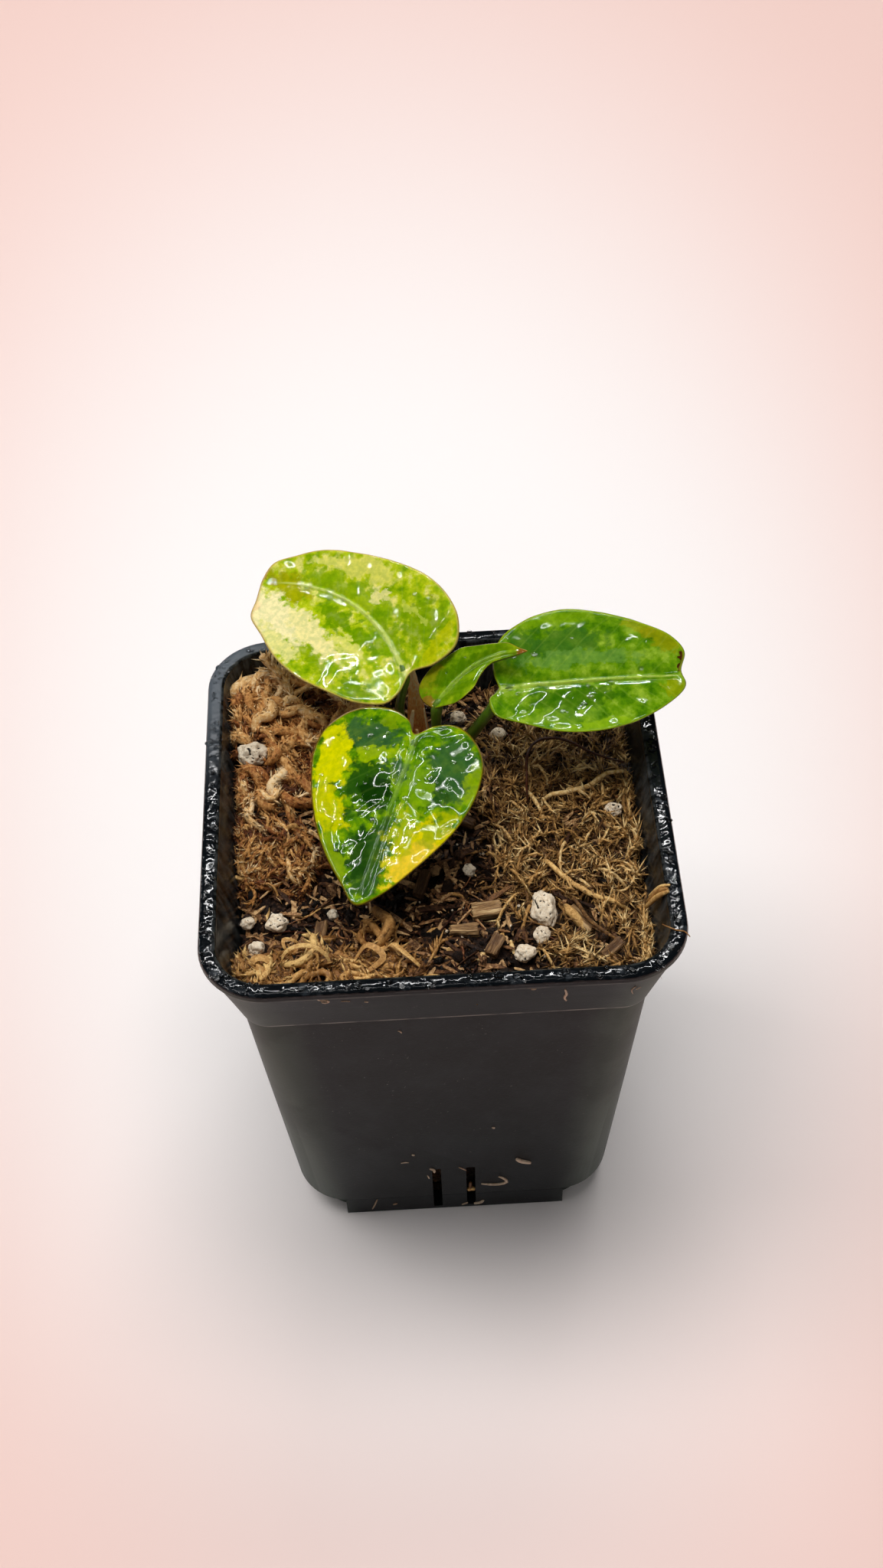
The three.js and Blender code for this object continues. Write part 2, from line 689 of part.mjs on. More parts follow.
// The dry, pointed scale that once wrapped the stalks.
function sheathSolid(grow) {
  const base = new THREE.Vector3(...sheath.base);
  const rise = new THREE.Vector3(...sheath.tip).sub(base);
  const side = new THREE.Vector3(1, 0, 0);
  const back = rise.clone().cross(side).normalize();
  const rings = [];
  for (let s = 0; s <= sheath.steps; s++) {
    const share = s / sheath.steps;
    const half = (sheath.width / 2) * (1 - share) ** 0.7 + sheath.edge + grow;
    const bulge = sheath.bulge * (1 - share) + sheath.edge;
    const ring = sheath.section.map(([across, lift]) =>
      base.clone()
        .addScaledVector(rise, share * (1 + 0.1 * grow) - 0.1 * grow)
        .addScaledVector(side, across * half)
        .addScaledVector(back, -lift * bulge - Math.sign(lift) * grow),
    );
    rings.push(ring);
  }
  return solidFrom(loft(rings));
}

// Assembly

const group = new THREE.Group();

function place(solid, name, color, roughness) {
  const material = new THREE.MeshStandardMaterial({ color, roughness, metalness: 0 });
  group.add(meshFrom(solid, name, material));
}

const grainPairs = grains.map(grainPair);
const chipPairs = chips.map(chipPair);
const strawPairs = Object.entries(straws).map(([name, straw]) => ({ name, ...strawPair(straw) }));
const petiolePairs = Object.entries(petioles).map(([name, petiole]) => ({
  name,
  ...petiolePair(petiole, leaves[name]),
}));
const stalkHoles = [...petiolePairs.map((pair) => pair.hole), sheathSolid(gap + 0.1)];
const mixHoles = [
  ...[...grainPairs, ...chipPairs, ...strawPairs].map((pair) => pair.hole),
  stemHole(),
  ...stalkHoles,
];

place(potSolid(), "pot", colours.pot, 0.45);
place(mixSolid(mixHoles), "potting_mix", colours.mix, 0.95);
for (const [name, patch] of Object.entries(mossPatches))
  place(mossSolid(patch, mixHoles), name, colours[name], 0.9);
grainPairs.forEach((pair, i) => place(pair.solid, `perlite_${i + 1}`, colours.perlite, 0.9));
chipPairs.forEach((pair, i) => place(pair.solid, `bark_chip_${i + 1}`, colours.bark, 0.85));
for (const { name, solid } of strawPairs)
  place(solid, name, name === "wiry_root" ? colours.root : colours.straw, 0.7);

place(stemSolid(stalkHoles), "stem", colours.stem, 0.6);
place(sheathSolid(0), "sheath", colours.sheath, 0.8);
for (const { name, solid } of petiolePairs) place(solid, `petiole_${name}`, colours.stalk, 0.5);
for (const [name, leaf] of Object.entries(leaves))
  place(bladeSolid(leaf), `blade_${name}`, colours[`blade_${name}`], 0.35);

export default group;
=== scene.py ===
# A young variegated anthurium in a square nursery pot, dressed for rendering.
import math
import random
import bmesh
import bpy
import numpy as np
from mathutils import Euler, Matrix, Vector, noise


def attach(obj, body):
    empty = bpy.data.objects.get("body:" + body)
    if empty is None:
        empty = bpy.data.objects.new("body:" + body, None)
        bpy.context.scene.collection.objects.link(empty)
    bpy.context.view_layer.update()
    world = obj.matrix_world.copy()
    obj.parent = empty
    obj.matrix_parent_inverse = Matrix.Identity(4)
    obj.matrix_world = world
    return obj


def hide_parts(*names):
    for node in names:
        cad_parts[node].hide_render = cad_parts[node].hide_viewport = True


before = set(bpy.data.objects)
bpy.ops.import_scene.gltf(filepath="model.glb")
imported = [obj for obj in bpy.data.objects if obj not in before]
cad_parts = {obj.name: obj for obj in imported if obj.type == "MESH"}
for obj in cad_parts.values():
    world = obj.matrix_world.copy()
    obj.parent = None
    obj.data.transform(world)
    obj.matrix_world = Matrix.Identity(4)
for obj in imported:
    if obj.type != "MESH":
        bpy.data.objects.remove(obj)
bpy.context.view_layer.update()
mm = 0.001  # the dictionaries below are in millimetres, the scene is in metres


# Camera, lights and floor

shot = {
    "aim": (1.40, 20.64, 57.76),
    "distance": 324.098,
    "azimuth": -0.887,
    "elevation": 49.315,
    "roll": -2.373,
    "lens": 44.88,
}


def addCamera():
    turn = math.radians(shot["azimuth"])
    lift = math.radians(shot["elevation"])
    tilt = math.radians(shot["roll"])
    back = Vector((math.sin(turn) * math.cos(lift), -math.cos(turn) * math.cos(lift), math.sin(lift)))
    level = Vector((math.cos(turn), math.sin(turn), 0))
    right = level * math.cos(tilt) + back.cross(level) * math.sin(tilt)
    turned = Matrix((right, back.cross(right), back)).transposed().to_4x4()
    bpy.ops.object.camera_add()
    camera = bpy.context.object
    camera.name = "viewpoint"
    camera.matrix_world = Matrix.Translation((Vector(shot["aim"]) + back * shot["distance"]) * mm) @ turned
    camera.data.sensor_width = 36
    camera.data.lens = shot["lens"]
    camera.data.clip_start = 0.01
    bpy.context.scene.camera = camera


lamps = {
    # turn from behind towards the right, height in degrees, distance, width and depth in mm, share of
    # the light on the floor; the last is True for what only shows as gloss, False for all other light
    "bigSoftbox": (-78, 64, 1500, 700, 700, 0.37, False),
    "overhead": (20, 83, 1500, 800, 600, 0.47, False),
    "backSoftbox": (10, 55, 1500, 700, 300, 0.13, False),
    "frontFill": (-165, 35, 1600, 900, 700, 0.015, False),
    "tubeHigh": (-40, 73, 1300, 620, 6, 0.052, True),
    "tubeCrown": (5, 82, 1300, 560, 5, 0.026, True),
    "tubeSide": (-72, 62, 1300, 520, 5, 0.042, True),
    "tubeMiddle": (0, 53, 1300, 700, 8, 0.23, True),
    "tubeLow": (-60, 33, 1300, 500, 16, 0.035, True),
    "ceiling": (0, 82, 1500, 600, 50, 0.02, True),
}
skyShare = 0.18
lampAim = (0, 5, 55)


def addLights():
    for name, (turn, height, distance, wide, deep, share, glossy) in lamps.items():
        turn, height = math.radians(turn), math.radians(height)
        flat = math.cos(height)
        away = Vector((math.sin(turn) * flat, math.cos(turn) * flat, math.sin(height)))
        bpy.ops.object.light_add(type="AREA", location=(Vector(lampAim) + away * distance) * mm)
        lamp = bpy.context.object
        lamp.name = name
        lamp.data.shape = "RECTANGLE"
        lamp.data.size = wide * mm
        lamp.data.size_y = deep * mm
        lamp.data.energy = share * (math.pi * distance * mm) ** 2 / math.sin(height)
        lamp.rotation_euler = away.to_track_quat("Z", "Y").to_euler()
        lamp.visible_glossy = glossy
        lamp.visible_diffuse = not glossy
    world = bpy.data.worlds.new("room")
    bpy.context.scene.world = world
    world.use_nodes = True
    world.node_tree.nodes["Background"].inputs["Color"].default_value = (1, 1, 1, 1)
    world.node_tree.nodes["Background"].inputs["Strength"].default_value = skyShare
    world.cycles_visibility.glossy = False


# Shader helpers

drawing = {}  # its "tree" is the node tree that the helpers add to
groups = {}


def tone(*colour):
    # a colour from 0 to 255, as the shader reads it
    shares = [c / 255 for c in colour]
    return (*(s / 12.92 if s <= 0.04045 else ((s + 0.055) / 1.055) ** 2.4 for s in shares), 1)


def feed(socket, value):
    # links or sets a socket; a colour of three numbers is from 0 to 255
    if isinstance(value, bpy.types.NodeSocket):
        drawing["tree"].links.new(value, socket)
    elif socket.type == "RGBA" and len(value) == 3:
        socket.default_value = tone(*value)
    else:
        socket.default_value = value


def node(kind, inputs=None, output=0, **settings):
    made = drawing["tree"].nodes.new(kind)
    for key, value in settings.items():
        setattr(made, key, value)
    for key, value in (inputs or {}).items():
        feed(made.inputs[key], value)
    return made.outputs[output]


def maths(operation, first, second=0.0, clamp=False):
    return node("ShaderNodeMath", {0: first, 1: second}, operation=operation, use_clamp=clamp)


def times(first, second):
    return maths("MULTIPLY", first, second)


def minus(first, second):
    return maths("SUBTRACT", first, second)


def greater(first, second):
    return maths("MAXIMUM", first, second)


def vectorMaths(operation, first, second=(0, 0, 0), output=0):
    return node("ShaderNodeVectorMath", {0: first, 1: second}, output, operation=operation)


def scaled(vector, amount):
    return node("ShaderNodeVectorMath", {0: vector, "Scale": amount}, operation="SCALE")


def stretched(place, amounts):
    return vectorMaths("MULTIPLY", place, amounts)


def apart(vector):
    return node("ShaderNodeSeparateXYZ", {0: vector}).node.outputs


def lengthOf(x, y, z=0.0):
    return vectorMaths("LENGTH", node("ShaderNodeCombineXYZ", {0: x, 1: y, 2: z}), output="Value")


def fade(value, low, high, bottom=0.0, top=1.0):
    # from bottom to top as the value goes from low to high, with soft ends
    inputs = {"Value": value, "From Min": low, "From Max": high, "To Min": bottom, "To Max": top}
    return node("ShaderNodeMapRange", inputs, interpolation_type="SMOOTHSTEP")


def mixed(share, first, second, way="MIX"):
    return node("ShaderNodeMix", {0: share, 6: first, 7: second}, 2, data_type="RGBA", blend_type=way)


def grain(place, scale, detail=3.0, rough=0.55, twist=0.0, output="Fac"):
    inputs = {"Vector": place, "Scale": scale, "Detail": detail, "Roughness": rough, "Distortion": twist}
    return node("ShaderNodeTexNoise", inputs, output)


def ramp(value, stops):
    # each stop is a place from 0 to 1 and a colour
    made = node("ShaderNodeValToRGB", {"Fac": value})
    elements = made.node.color_ramp.elements
    while len(elements) < len(stops):
        elements.new(0.5)
    for element, (at, *colour) in zip(elements, stops):
        element.position = at
        element.color = tone(*colour)
    return made


def attribute(name, output="Fac"):
    return node("ShaderNodeAttribute", None, output, attribute_name=name)


def millimetres():
    # the piece's own coordinates in millimetres
    return scaled(node("ShaderNodeTexCoord", output="Object"), 1000.0)


def bump(height, depth, normal=None):
    inputs = {"Height": height, "Distance": depth * mm}
    if normal is not None:
        inputs["Normal"] = normal
    return node("ShaderNodeBump", inputs)


def paint(material, **sockets):
    # the shader's own sockets, with their spaces left out
    for socket in material.node_tree.nodes["Principled BSDF"].inputs:
        key = socket.name.replace(" ", "")
        if key in sockets:
            feed(socket, sockets.pop(key))
    if sockets:
        raise ValueError(f"no shader socket is called {sorted(sockets)}")
    return material


def newMaterial(name, **sockets):
    material = bpy.data.materials.new(name)
    material.use_nodes = True
    drawing["tree"] = material.node_tree
    return paint(material, **sockets)


def newGroup(name, inputs, outputs=("Value",), kind="Float"):
    # each input has its first value, and a place has none
    group = bpy.data.node_groups.new(name, "ShaderNodeTree")
    for label, value in inputs.items():
        kindIn = "Float" if isinstance(value, float) else "Vector"
        socket = group.interface.new_socket(label, in_out="INPUT", socket_type="NodeSocket" + kindIn)
        if value is not None:
            socket.default_value = value
    for label in outputs:
        group.interface.new_socket(label, in_out="OUTPUT", socket_type="NodeSocket" + kind)
    groups[name] = drawing["tree"] = group
    return group.nodes.new("NodeGroupInput").outputs, group.nodes.new("NodeGroupOutput").inputs


# Effects that several materials use

def drawRaggedPlace():
    # moves a place about, so that what is drawn round it gets a ragged edge
    given, out = newGroup("raggedPlace", {"Place": None, "Coarse": 2.0, "Fine": 1.0}, ("Place",), "Vector")
    moved = given["Place"]
    for scale, amount in ((0.3, "Coarse"), (1.15, "Fine")):
        swing = grain(given["Place"], scale, 2.0, 0.5, output="Color")
        swing = stretched(vectorMaths("SUBTRACT", swing, (0.5, 0.5, 0.5)), (2, 2, 0))
        moved = vectorMaths("ADD", moved, scaled(swing, given[amount]))
    feed(out["Place"], moved)


def drawColourPatch():
    # a soft oval about a centre
    inputs = {"Place": None, "Centre": (0, 0, 0), "Size": (1, 1, 1), "Turn": 0.0, "Softness": 0.25,
              "Breakup": 0.0}
    given, out = newGroup("colourPatch", inputs)
    away = vectorMaths("SUBTRACT", given["Place"], given["Centre"])
    turned = node("ShaderNodeVectorRotate", {"Vector": away, "Angle": given["Turn"]}, rotation_type="Z_AXIS")
    reach = vectorMaths("LENGTH", vectorMaths("DIVIDE", turned, given["Size"]), output="Value")
    reach = maths("ADD", reach, given["Breakup"])
    soft = given["Softness"]
    feed(out[0], fade(reach, maths("ADD", 1.0, soft), minus(1.0, soft)))


def drawMottle():
    # a mask of cloudy patches
    given, out = newGroup("mottle", {"Place": None, "Scale": 1.0, "Detail": 3.0, "Low": 0.4, "High": 0.6})
    cloud = grain(given["Place"], given["Scale"], given["Detail"], 0.6)
    feed(out[0], fade(cloud, given["Low"], given["High"]))


def drawWaterFilm():
    # ripples and beads of standing water, as a height
    given, out = newGroup("waterFilm", {"Place": None, "Ripple": 0.8, "Bead": 0.7, "Beads": 0.5})
    place = given["Place"]
    ripple = grain(place, given["Ripple"], 1.0, 0.4, 0.6)
    inputs = {"Vector": place, "Scale": given["Bead"], "Randomness": 1.0}
    cells = node("ShaderNodeTexVoronoi", inputs, "Distance", feature="SMOOTH_F1")
    bead = times(fade(cells, 0.42, 0.0), fade(grain(place, given["Bead"], 0.0), 0.52, 0.6))
    feed(out[0], maths("ADD", ripple, times(bead, given["Beads"])))


def drawVeins():
    # the pale midrib, and the side veins that leave it
    given, out = newGroup("veins", {"Vein": None, "Spacing": 3.0, "Width": 0.3}, ("Midrib", "Side"))
    phase, away, along = apart(given["Vein"])
    thinner = times(given["Width"], fade(along, 1.0, 0.0, 0.45, 1.0))
    feed(out["Midrib"], fade(maths("ABSOLUTE", away), times(thinner, 1.9), times(thinner, 0.6)))
    gap = times(maths("PINGPONG", phase, 0.5), given["Spacing"])
    feed(out["Side"], fade(gap, given["Width"], 0.05))


for draw in (drawRaggedPlace, drawColourPatch, drawMottle, drawWaterFilm, drawVeins):
    draw()


def effect(name, **inputs):
    return node("ShaderNodeGroup", inputs, node_tree=groups[name])


def mottle(place, scale, detail, low, high):
    return effect("mottle", Place=place, Scale=scale, Detail=detail, Low=low, High=high)


# General modelling helpers

def held(value):
    return min(1, max(0, value))


def anyTurn(chance):
    return Euler([chance.uniform(0, 6) for _ in range(3)])


def takeUp(*objects):
    bpy.ops.object.select_all(action="DESELECT")
    for one in objects:
        one.select_set(True)
    bpy.context.view_layer.objects.active = objects[0]


def add(primitive, **settings):
    bpy.ops.object.select_all(action="DESELECT")
    getattr(bpy.ops.mesh, f"primitive_{primitive}_add")(**settings)
    return bpy.context.object


def applyMoves():
    bpy.ops.object.transform_apply(location=True, rotation=True, scale=True)


def applyModifier(piece, kind, **settings):
    takeUp(piece)
    change = piece.modifiers.new("change", kind)
    for key, value in settings.items():
        setattr(change, key, value)
    bpy.ops.object.modifier_apply(modifier=change.name)


def openMesh():
    bpy.ops.object.mode_set(mode="EDIT")
    bpy.ops.mesh.select_all(action="SELECT")


def closeMesh():
    bpy.ops.object.mode_set(mode="OBJECT")


def faceOut():
    # all faces look outwards, and edit mode ends
    bpy.ops.mesh.select_all(action="SELECT")
    bpy.ops.mesh.normals_make_consistent(inside=False)
    closeMesh()


def pick(piece, keep, kind="verts"):
    # in edit mode, selects what the test keeps
    shape = bmesh.from_edit_mesh(piece.data)
    bpy.context.tool_settings.mesh_select_mode = (kind == "verts", kind == "edges", kind == "faces")
    bpy.ops.mesh.select_all(action="DESELECT")
    for item in getattr(shape, kind):
        if keep(item):
            item.select_set(True)
    shape.select_flush_mode()
    bmesh.update_edit_mesh(piece.data)


def moveSelected(piece, move):
    shape = bmesh.from_edit_mesh(piece.data)
    for point in shape.verts:
        if point.select:
            point.co = move(point.co)
    bmesh.update_edit_mesh(piece.data)


def coordinates(piece):
    found = np.empty(len(piece.data.vertices) * 3)
    piece.data.vertices.foreach_get("co", found)
    return found.reshape(-1, 3)


def setCoordinates(piece, places):
    piece.data.vertices.foreach_set("co", np.asarray(places, float).ravel())
    piece.data.update()


def setAttribute(piece, name, values):
    # a number, a vector or a colour for each point, or one number for all
    values = np.asarray(values, float)
    if values.ndim == 0:
        values = np.full(len(piece.data.vertices), values)
    kind, field = (("FLOAT", "value") if values.ndim == 1 else
                   ("FLOAT_VECTOR", "vector") if values.shape[1] == 3 else ("FLOAT_COLOR", "color"))
    piece.data.attributes.new(name, kind, "POINT").data.foreach_set(field, values.ravel())


def smoothstep(low, high, value):
    share = np.clip((value - low) / (high - low), 0, 1)
    return share * share * (3 - 2 * share)


def finishPiece(piece, name, material, replaces=(), angle=None):
    piece.name = piece.data.name = name
    piece.data.materials.clear()
    piece.data.materials.append(material)
    takeUp(piece)
    applyMoves()
    if angle is None:
        bpy.ops.object.shade_smooth()
    else:
        bpy.ops.object.shade_smooth_by_angle(angle=math.radians(angle))
    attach(piece, "root")
    if replaces:
        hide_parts(*replaces)


def between(first, second, at, start, end):
    return ((end - at) * first + (at - start) * second) / (end - start)


def smoothPath(points, count, closed=False):
    # a smooth curve through the points, as evenly spaced places
    knots = np.asarray(points, float)
    if closed:
        knots = np.vstack([knots[-1:], knots, knots[:2]])
    else:
        knots = np.vstack([2 * knots[:1] - knots[1:2], knots, 2 * knots[-1:] - knots[-2:-1]])
    fine = []
    share = np.linspace(0, 1, 24, endpoint=False)[:, None]
    for four in zip(knots, knots[1:], knots[2:], knots[3:]):
        spans = [max(np.linalg.norm(q - p), 1e-6) ** 0.5 for p, q in zip(four, four[1:])]
        t = np.concatenate([[0], np.cumsum(spans)])
        at = t[1] + (t[2] - t[1]) * share
        first = [between(four[k], four[k + 1], at, t[k], t[k + 1]) for k in range(3)]
        second = [between(first[k], first[k + 1], at, t[k], t[k + 2]) for k in range(2)]
        fine.append(between(second[0], second[1], at, t[1], t[2]))
    fine = np.vstack(fine + [fine[0][:1] if closed else knots[-2:-1]])
    lengths = np.concatenate([[0], np.cumsum(np.linalg.norm(np.diff(fine, axis=0), axis=1))])
    stops = np.linspace(0, lengths[-1], count, endpoint=not closed)
    return np.column_stack([np.interp(stops, lengths, fine[:, k]) for k in range(fine.shape[1])])


def roughness3d(places, size, seed=0.0):
    # smooth noise at each place, from -1 to 1, with features of about that size
    return np.array([noise.noise(Vector((x / size + seed, y / size, z / size))) for x, y, z in places])


def closeEnds(piece):
    takeUp(piece)
    openMesh()
    bpy.ops.mesh.fill_holes(sides=0)
    faceOut()


def strandPiece(strands, sides=1, thick=1.0, flat=0.0):
    # strands are (points, radii, tint) or (points, radii, tint, tilts); they become one mesh
    curve = bpy.data.curves.new("strands", "CURVE")
    curve.dimensions = "3D"
    curve.fill_mode = "FULL"
    curve.extrude = flat * mm
    curve.bevel_depth = thick * mm
    curve.bevel_resolution = sides
    tints = []
    for points, radii, tint, *tilts in strands:
        spline = curve.splines.new("POLY").points
        spline.add(len(points) - 1)
        spline.foreach_set("co", np.column_stack([np.asarray(points) * mm, np.ones(len(points))]).ravel())
        spline.foreach_set("radius", np.asarray(radii, float))
        if tilts:
            spline.foreach_set("tilt", tilts[0])
        tints += [tint] * len(points)
    piece = bpy.data.objects.new("strands", curve)
    bpy.context.scene.collection.objects.link(piece)
    takeUp(piece)
    bpy.ops.object.convert(target="MESH")
    piece = bpy.context.object
    setAttribute(piece, "tint", np.repeat(tints, len(piece.data.vertices) // len(tints)))
    closeEnds(piece)
    return piece


def taper(count, least, power, start, span):
    # shares of a strand's radius along its length: the least at its ends, 1 in the middle
    wave = np.sin(np.pi * (start + span * np.linspace(0, 1, count))) ** power
    return least + (1 - least) * wave


def namedStrands(given, count=16):
    thickness = taper(count, 0.4, 0.6, 0.08, 0.84)
    return [(smoothPath(points, count), radius * thickness, tint) for points, radius, tint in given]


def scatterPiece(shapes, copies):
    # copies are (which shape, place in mm, turn, size in mm, tint)
    allPoints, allFaces, tints = [], [], []
    for which, place, turn, size, tint in copies:
        points, faces = shapes[which]
        start = len(tints)
        turned = (points * np.asarray(size)) @ np.array(turn.to_matrix()).T + np.asarray(place)
        allPoints.append(turned * mm)
        allFaces += [tuple(start + i for i in face) for face in faces]
        tints += [tint] * len(points)
    mesh = bpy.data.meshes.new("scatter")
    mesh.from_pydata(np.vstack(allPoints).tolist(), [], allFaces)
    mesh.update()
    piece = bpy.data.objects.new("scatter", mesh)
    bpy.context.scene.collection.objects.link(piece)
    setAttribute(piece, "tint", tints)
    return piece


def joined(first, *others):
    takeUp(first, *others)
    bpy.ops.object.join()
    return bpy.context.object


# Floor

floorLook = {
    "reach": 1600,
    "white": (250, 245, 243),
    "pink": (240, 206, 197),
    "lens": (190.6, 303.5),  # how far the lens stands before the pot's middle, and how high
    "tilt": 50,  # the middle of the white oval and its half height, in degrees below the lens
    "tall": 22,
    "narrow": 3.6,
    "edge": (0.4, 1.3),
}


def addFloor():
    floor = add("plane", size=2 * floorLook["reach"] * mm, location=(0, 0, 0))
    floor.name = "paleFloor"
    material = newMaterial("palePaper", Roughness=0.9, SpecularIORLevel=0.1)
    x, y, _ = apart(millimetres())
    # how far down the floor is seen from the lens, so that the white oval is even about the pot
    before, high = floorLook["lens"]
    depth = maths("ADD", y, before)
    steep = minus(maths("ARCTAN2", high, depth), math.radians(floorLook["tilt"]))
    side = times(maths("DIVIDE", x, lengthOf(0.0, depth, high)), floorLook["narrow"])
    share = fade(lengthOf(side, times(steep, 1 / math.radians(floorLook["tall"]))), *floorLook["edge"])
    colour = mixed(share, floorLook["white"], floorLook["pink"])
    floor.data.materials.append(paint(material, BaseColor=colour))


# Pot

pot = {
    "cornerSteps": 14,
    # half width, corner radius and height of each ring, up the outside and down the inside
    "rings": [
        (25.9, 9.0, 4.8), (26.3, 9.0, 5.0), (26.56, 8.9, 5.5), (28.3, 6.7, 35.0), (30.0, 4.5, 64.55),
        (30.14, 4.5, 64.62), (30.28, 4.55, 64.72), (30.36, 4.6, 64.95), (32.2, 6.4, 71.0), (34.1, 8.2, 77.1),
        (34.2, 8.5, 77.22), (34.5, 9.1, 77.32), (34.82, 9.6, 77.5), (34.97, 9.78, 77.8), (35.0, 9.8, 78.2),
        (34.95, 9.75, 78.55), (34.8, 9.6, 78.82), (34.5, 9.3, 78.97), (34.1, 8.9, 79.0), (33.2, 8.0, 78.96),
        (32.8, 7.6, 78.9), (32.55, 7.35, 78.75), (32.4, 7.2, 78.5), (30.6, 5.2, 71.6), (28.8, 3.3, 64.6),
        (25.55, 7.49, 5.8), (24.1, 8.0, 5.75), (23.7, 8.0, 1.4),
    ],
    "foot": [(24.4, 9.0, 0.0), (24.6, 9.0, 0.12), (24.9, 9.0, 5.3)],
    "hollow": [(23.7, 8.0, 1.4), (24.1, 8.0, 5.85)],  # the foot's inside
    "bevel": 0.25,
    # the four walls that run down to the ground
    "slab": {"half": 18.5, "front": 26.0, "back": 24.05, "top": 5.3, "lean": 0.48},
    "slot": {"half": 0.75, "foot": 0.9, "top": 15.3, "spacing": 5.7, "reach": (30, 22)},
    # height and half width of the front wall, for what clings to it
    "wall": [(0, 26.0), (5.3, 26.48), (5.5, 26.56), (35, 28.3), (64.55, 30.0), (64.95, 30.36), (71, 32.2),
             (77.1, 34.1)],
    # heights of two thin bands painted as highlights, at the collar step and on the outer edge of the lip
    "lightLines": [(64.75, 65.1), (77.55, 77.75)],
}


def squareToSquare(point, old, new):
    # a point on one rounded square goes to the same place on another
    half, corner, _ = old
    nextHalf, nextCorner, z = new
    x, y = abs(point.x) / mm, abs(point.y) / mm
    across = (x - (half - corner)) / corner
    deep = (y - (half - corner)) / corner
    x = nextHalf - nextCorner + nextCorner * across
    y = nextHalf - nextCorner + nextCorner * deep
    return Vector((math.copysign(x, point.x), math.copysign(y, point.y), z)) * mm


def risenSquare(rings):
    # a rounded square drawn once and extruded from ring to ring, left closed at both ends
    half, corner, z = rings[0]
    piece = add("plane", size=2 * half * mm, location=(0, 0, z * mm))
    applyMoves()
    openMesh()
    bpy.ops.mesh.bevel(offset=corner * mm, segments=pot["cornerSteps"], profile=0.5, affect="VERTICES")
    for old, new in zip(rings, rings[1:]):
        bpy.ops.mesh.extrude_region_move(TRANSFORM_OT_translate={"value": (0, 0, (new[2] - old[2]) * mm)})
        moveSelected(piece, lambda point: squareToSquare(point, old, new))
    faceOut()
    return piece


def block(low, high):
    low, high = Vector(low) * mm, Vector(high) * mm
    piece = add("cube", size=1, location=(low + high) / 2)
    piece.scale = high - low
    applyMoves()
    return piece


def cutOrJoin(piece, tool, operation, side=0):
    # the tool is made for the front wall, and side turns it to another
    tool.rotation_euler.z = side * math.pi / 2
    takeUp(tool)
    applyMoves()
    applyModifier(piece, "BOOLEAN", operation=operation, solver="EXACT", object=tool)
    bpy.data.objects.remove(tool)


def makePot(material):
    shell = risenSquare(pot["rings"])
    cutOrJoin(shell, risenSquare(pot["foot"]), "UNION")
    cutOrJoin(shell, risenSquare(pot["hollow"]), "DIFFERENCE")
    slab, slot = pot["slab"], pot["slot"]
    half, (outer, inner) = slot["half"], slot["reach"]
    for side in range(4):
        tool = block((-slab["half"], -slab["front"], 0.0), (slab["half"], -slab["back"], slab["top"]))
        openMesh()
        # its upper front edge leans out with the wall
        pick(tool, lambda point: point.co.z > 5 * mm and point.co.y < -25 * mm)
        bpy.ops.transform.translate(value=(0, -slab["lean"] * mm, 0))
        closeMesh()
        cutOrJoin(shell, tool, "UNION", side)
    for side in range(4):
        for middle in (-slot["spacing"] / 2, slot["spacing"] / 2):
            tool = block((middle - half, -outer, slot["foot"]), (middle + half, -inner, slot["top"]))
            openMesh()
            bpy.ops.mesh.bevel(offset=pot["bevel"] * mm, segments=2, affect="EDGES")
            closeMesh()
            cutOrJoin(shell, tool, "DIFFERENCE", side)
    finishPiece(shell, "potShell", material, ("pot",), angle=32)


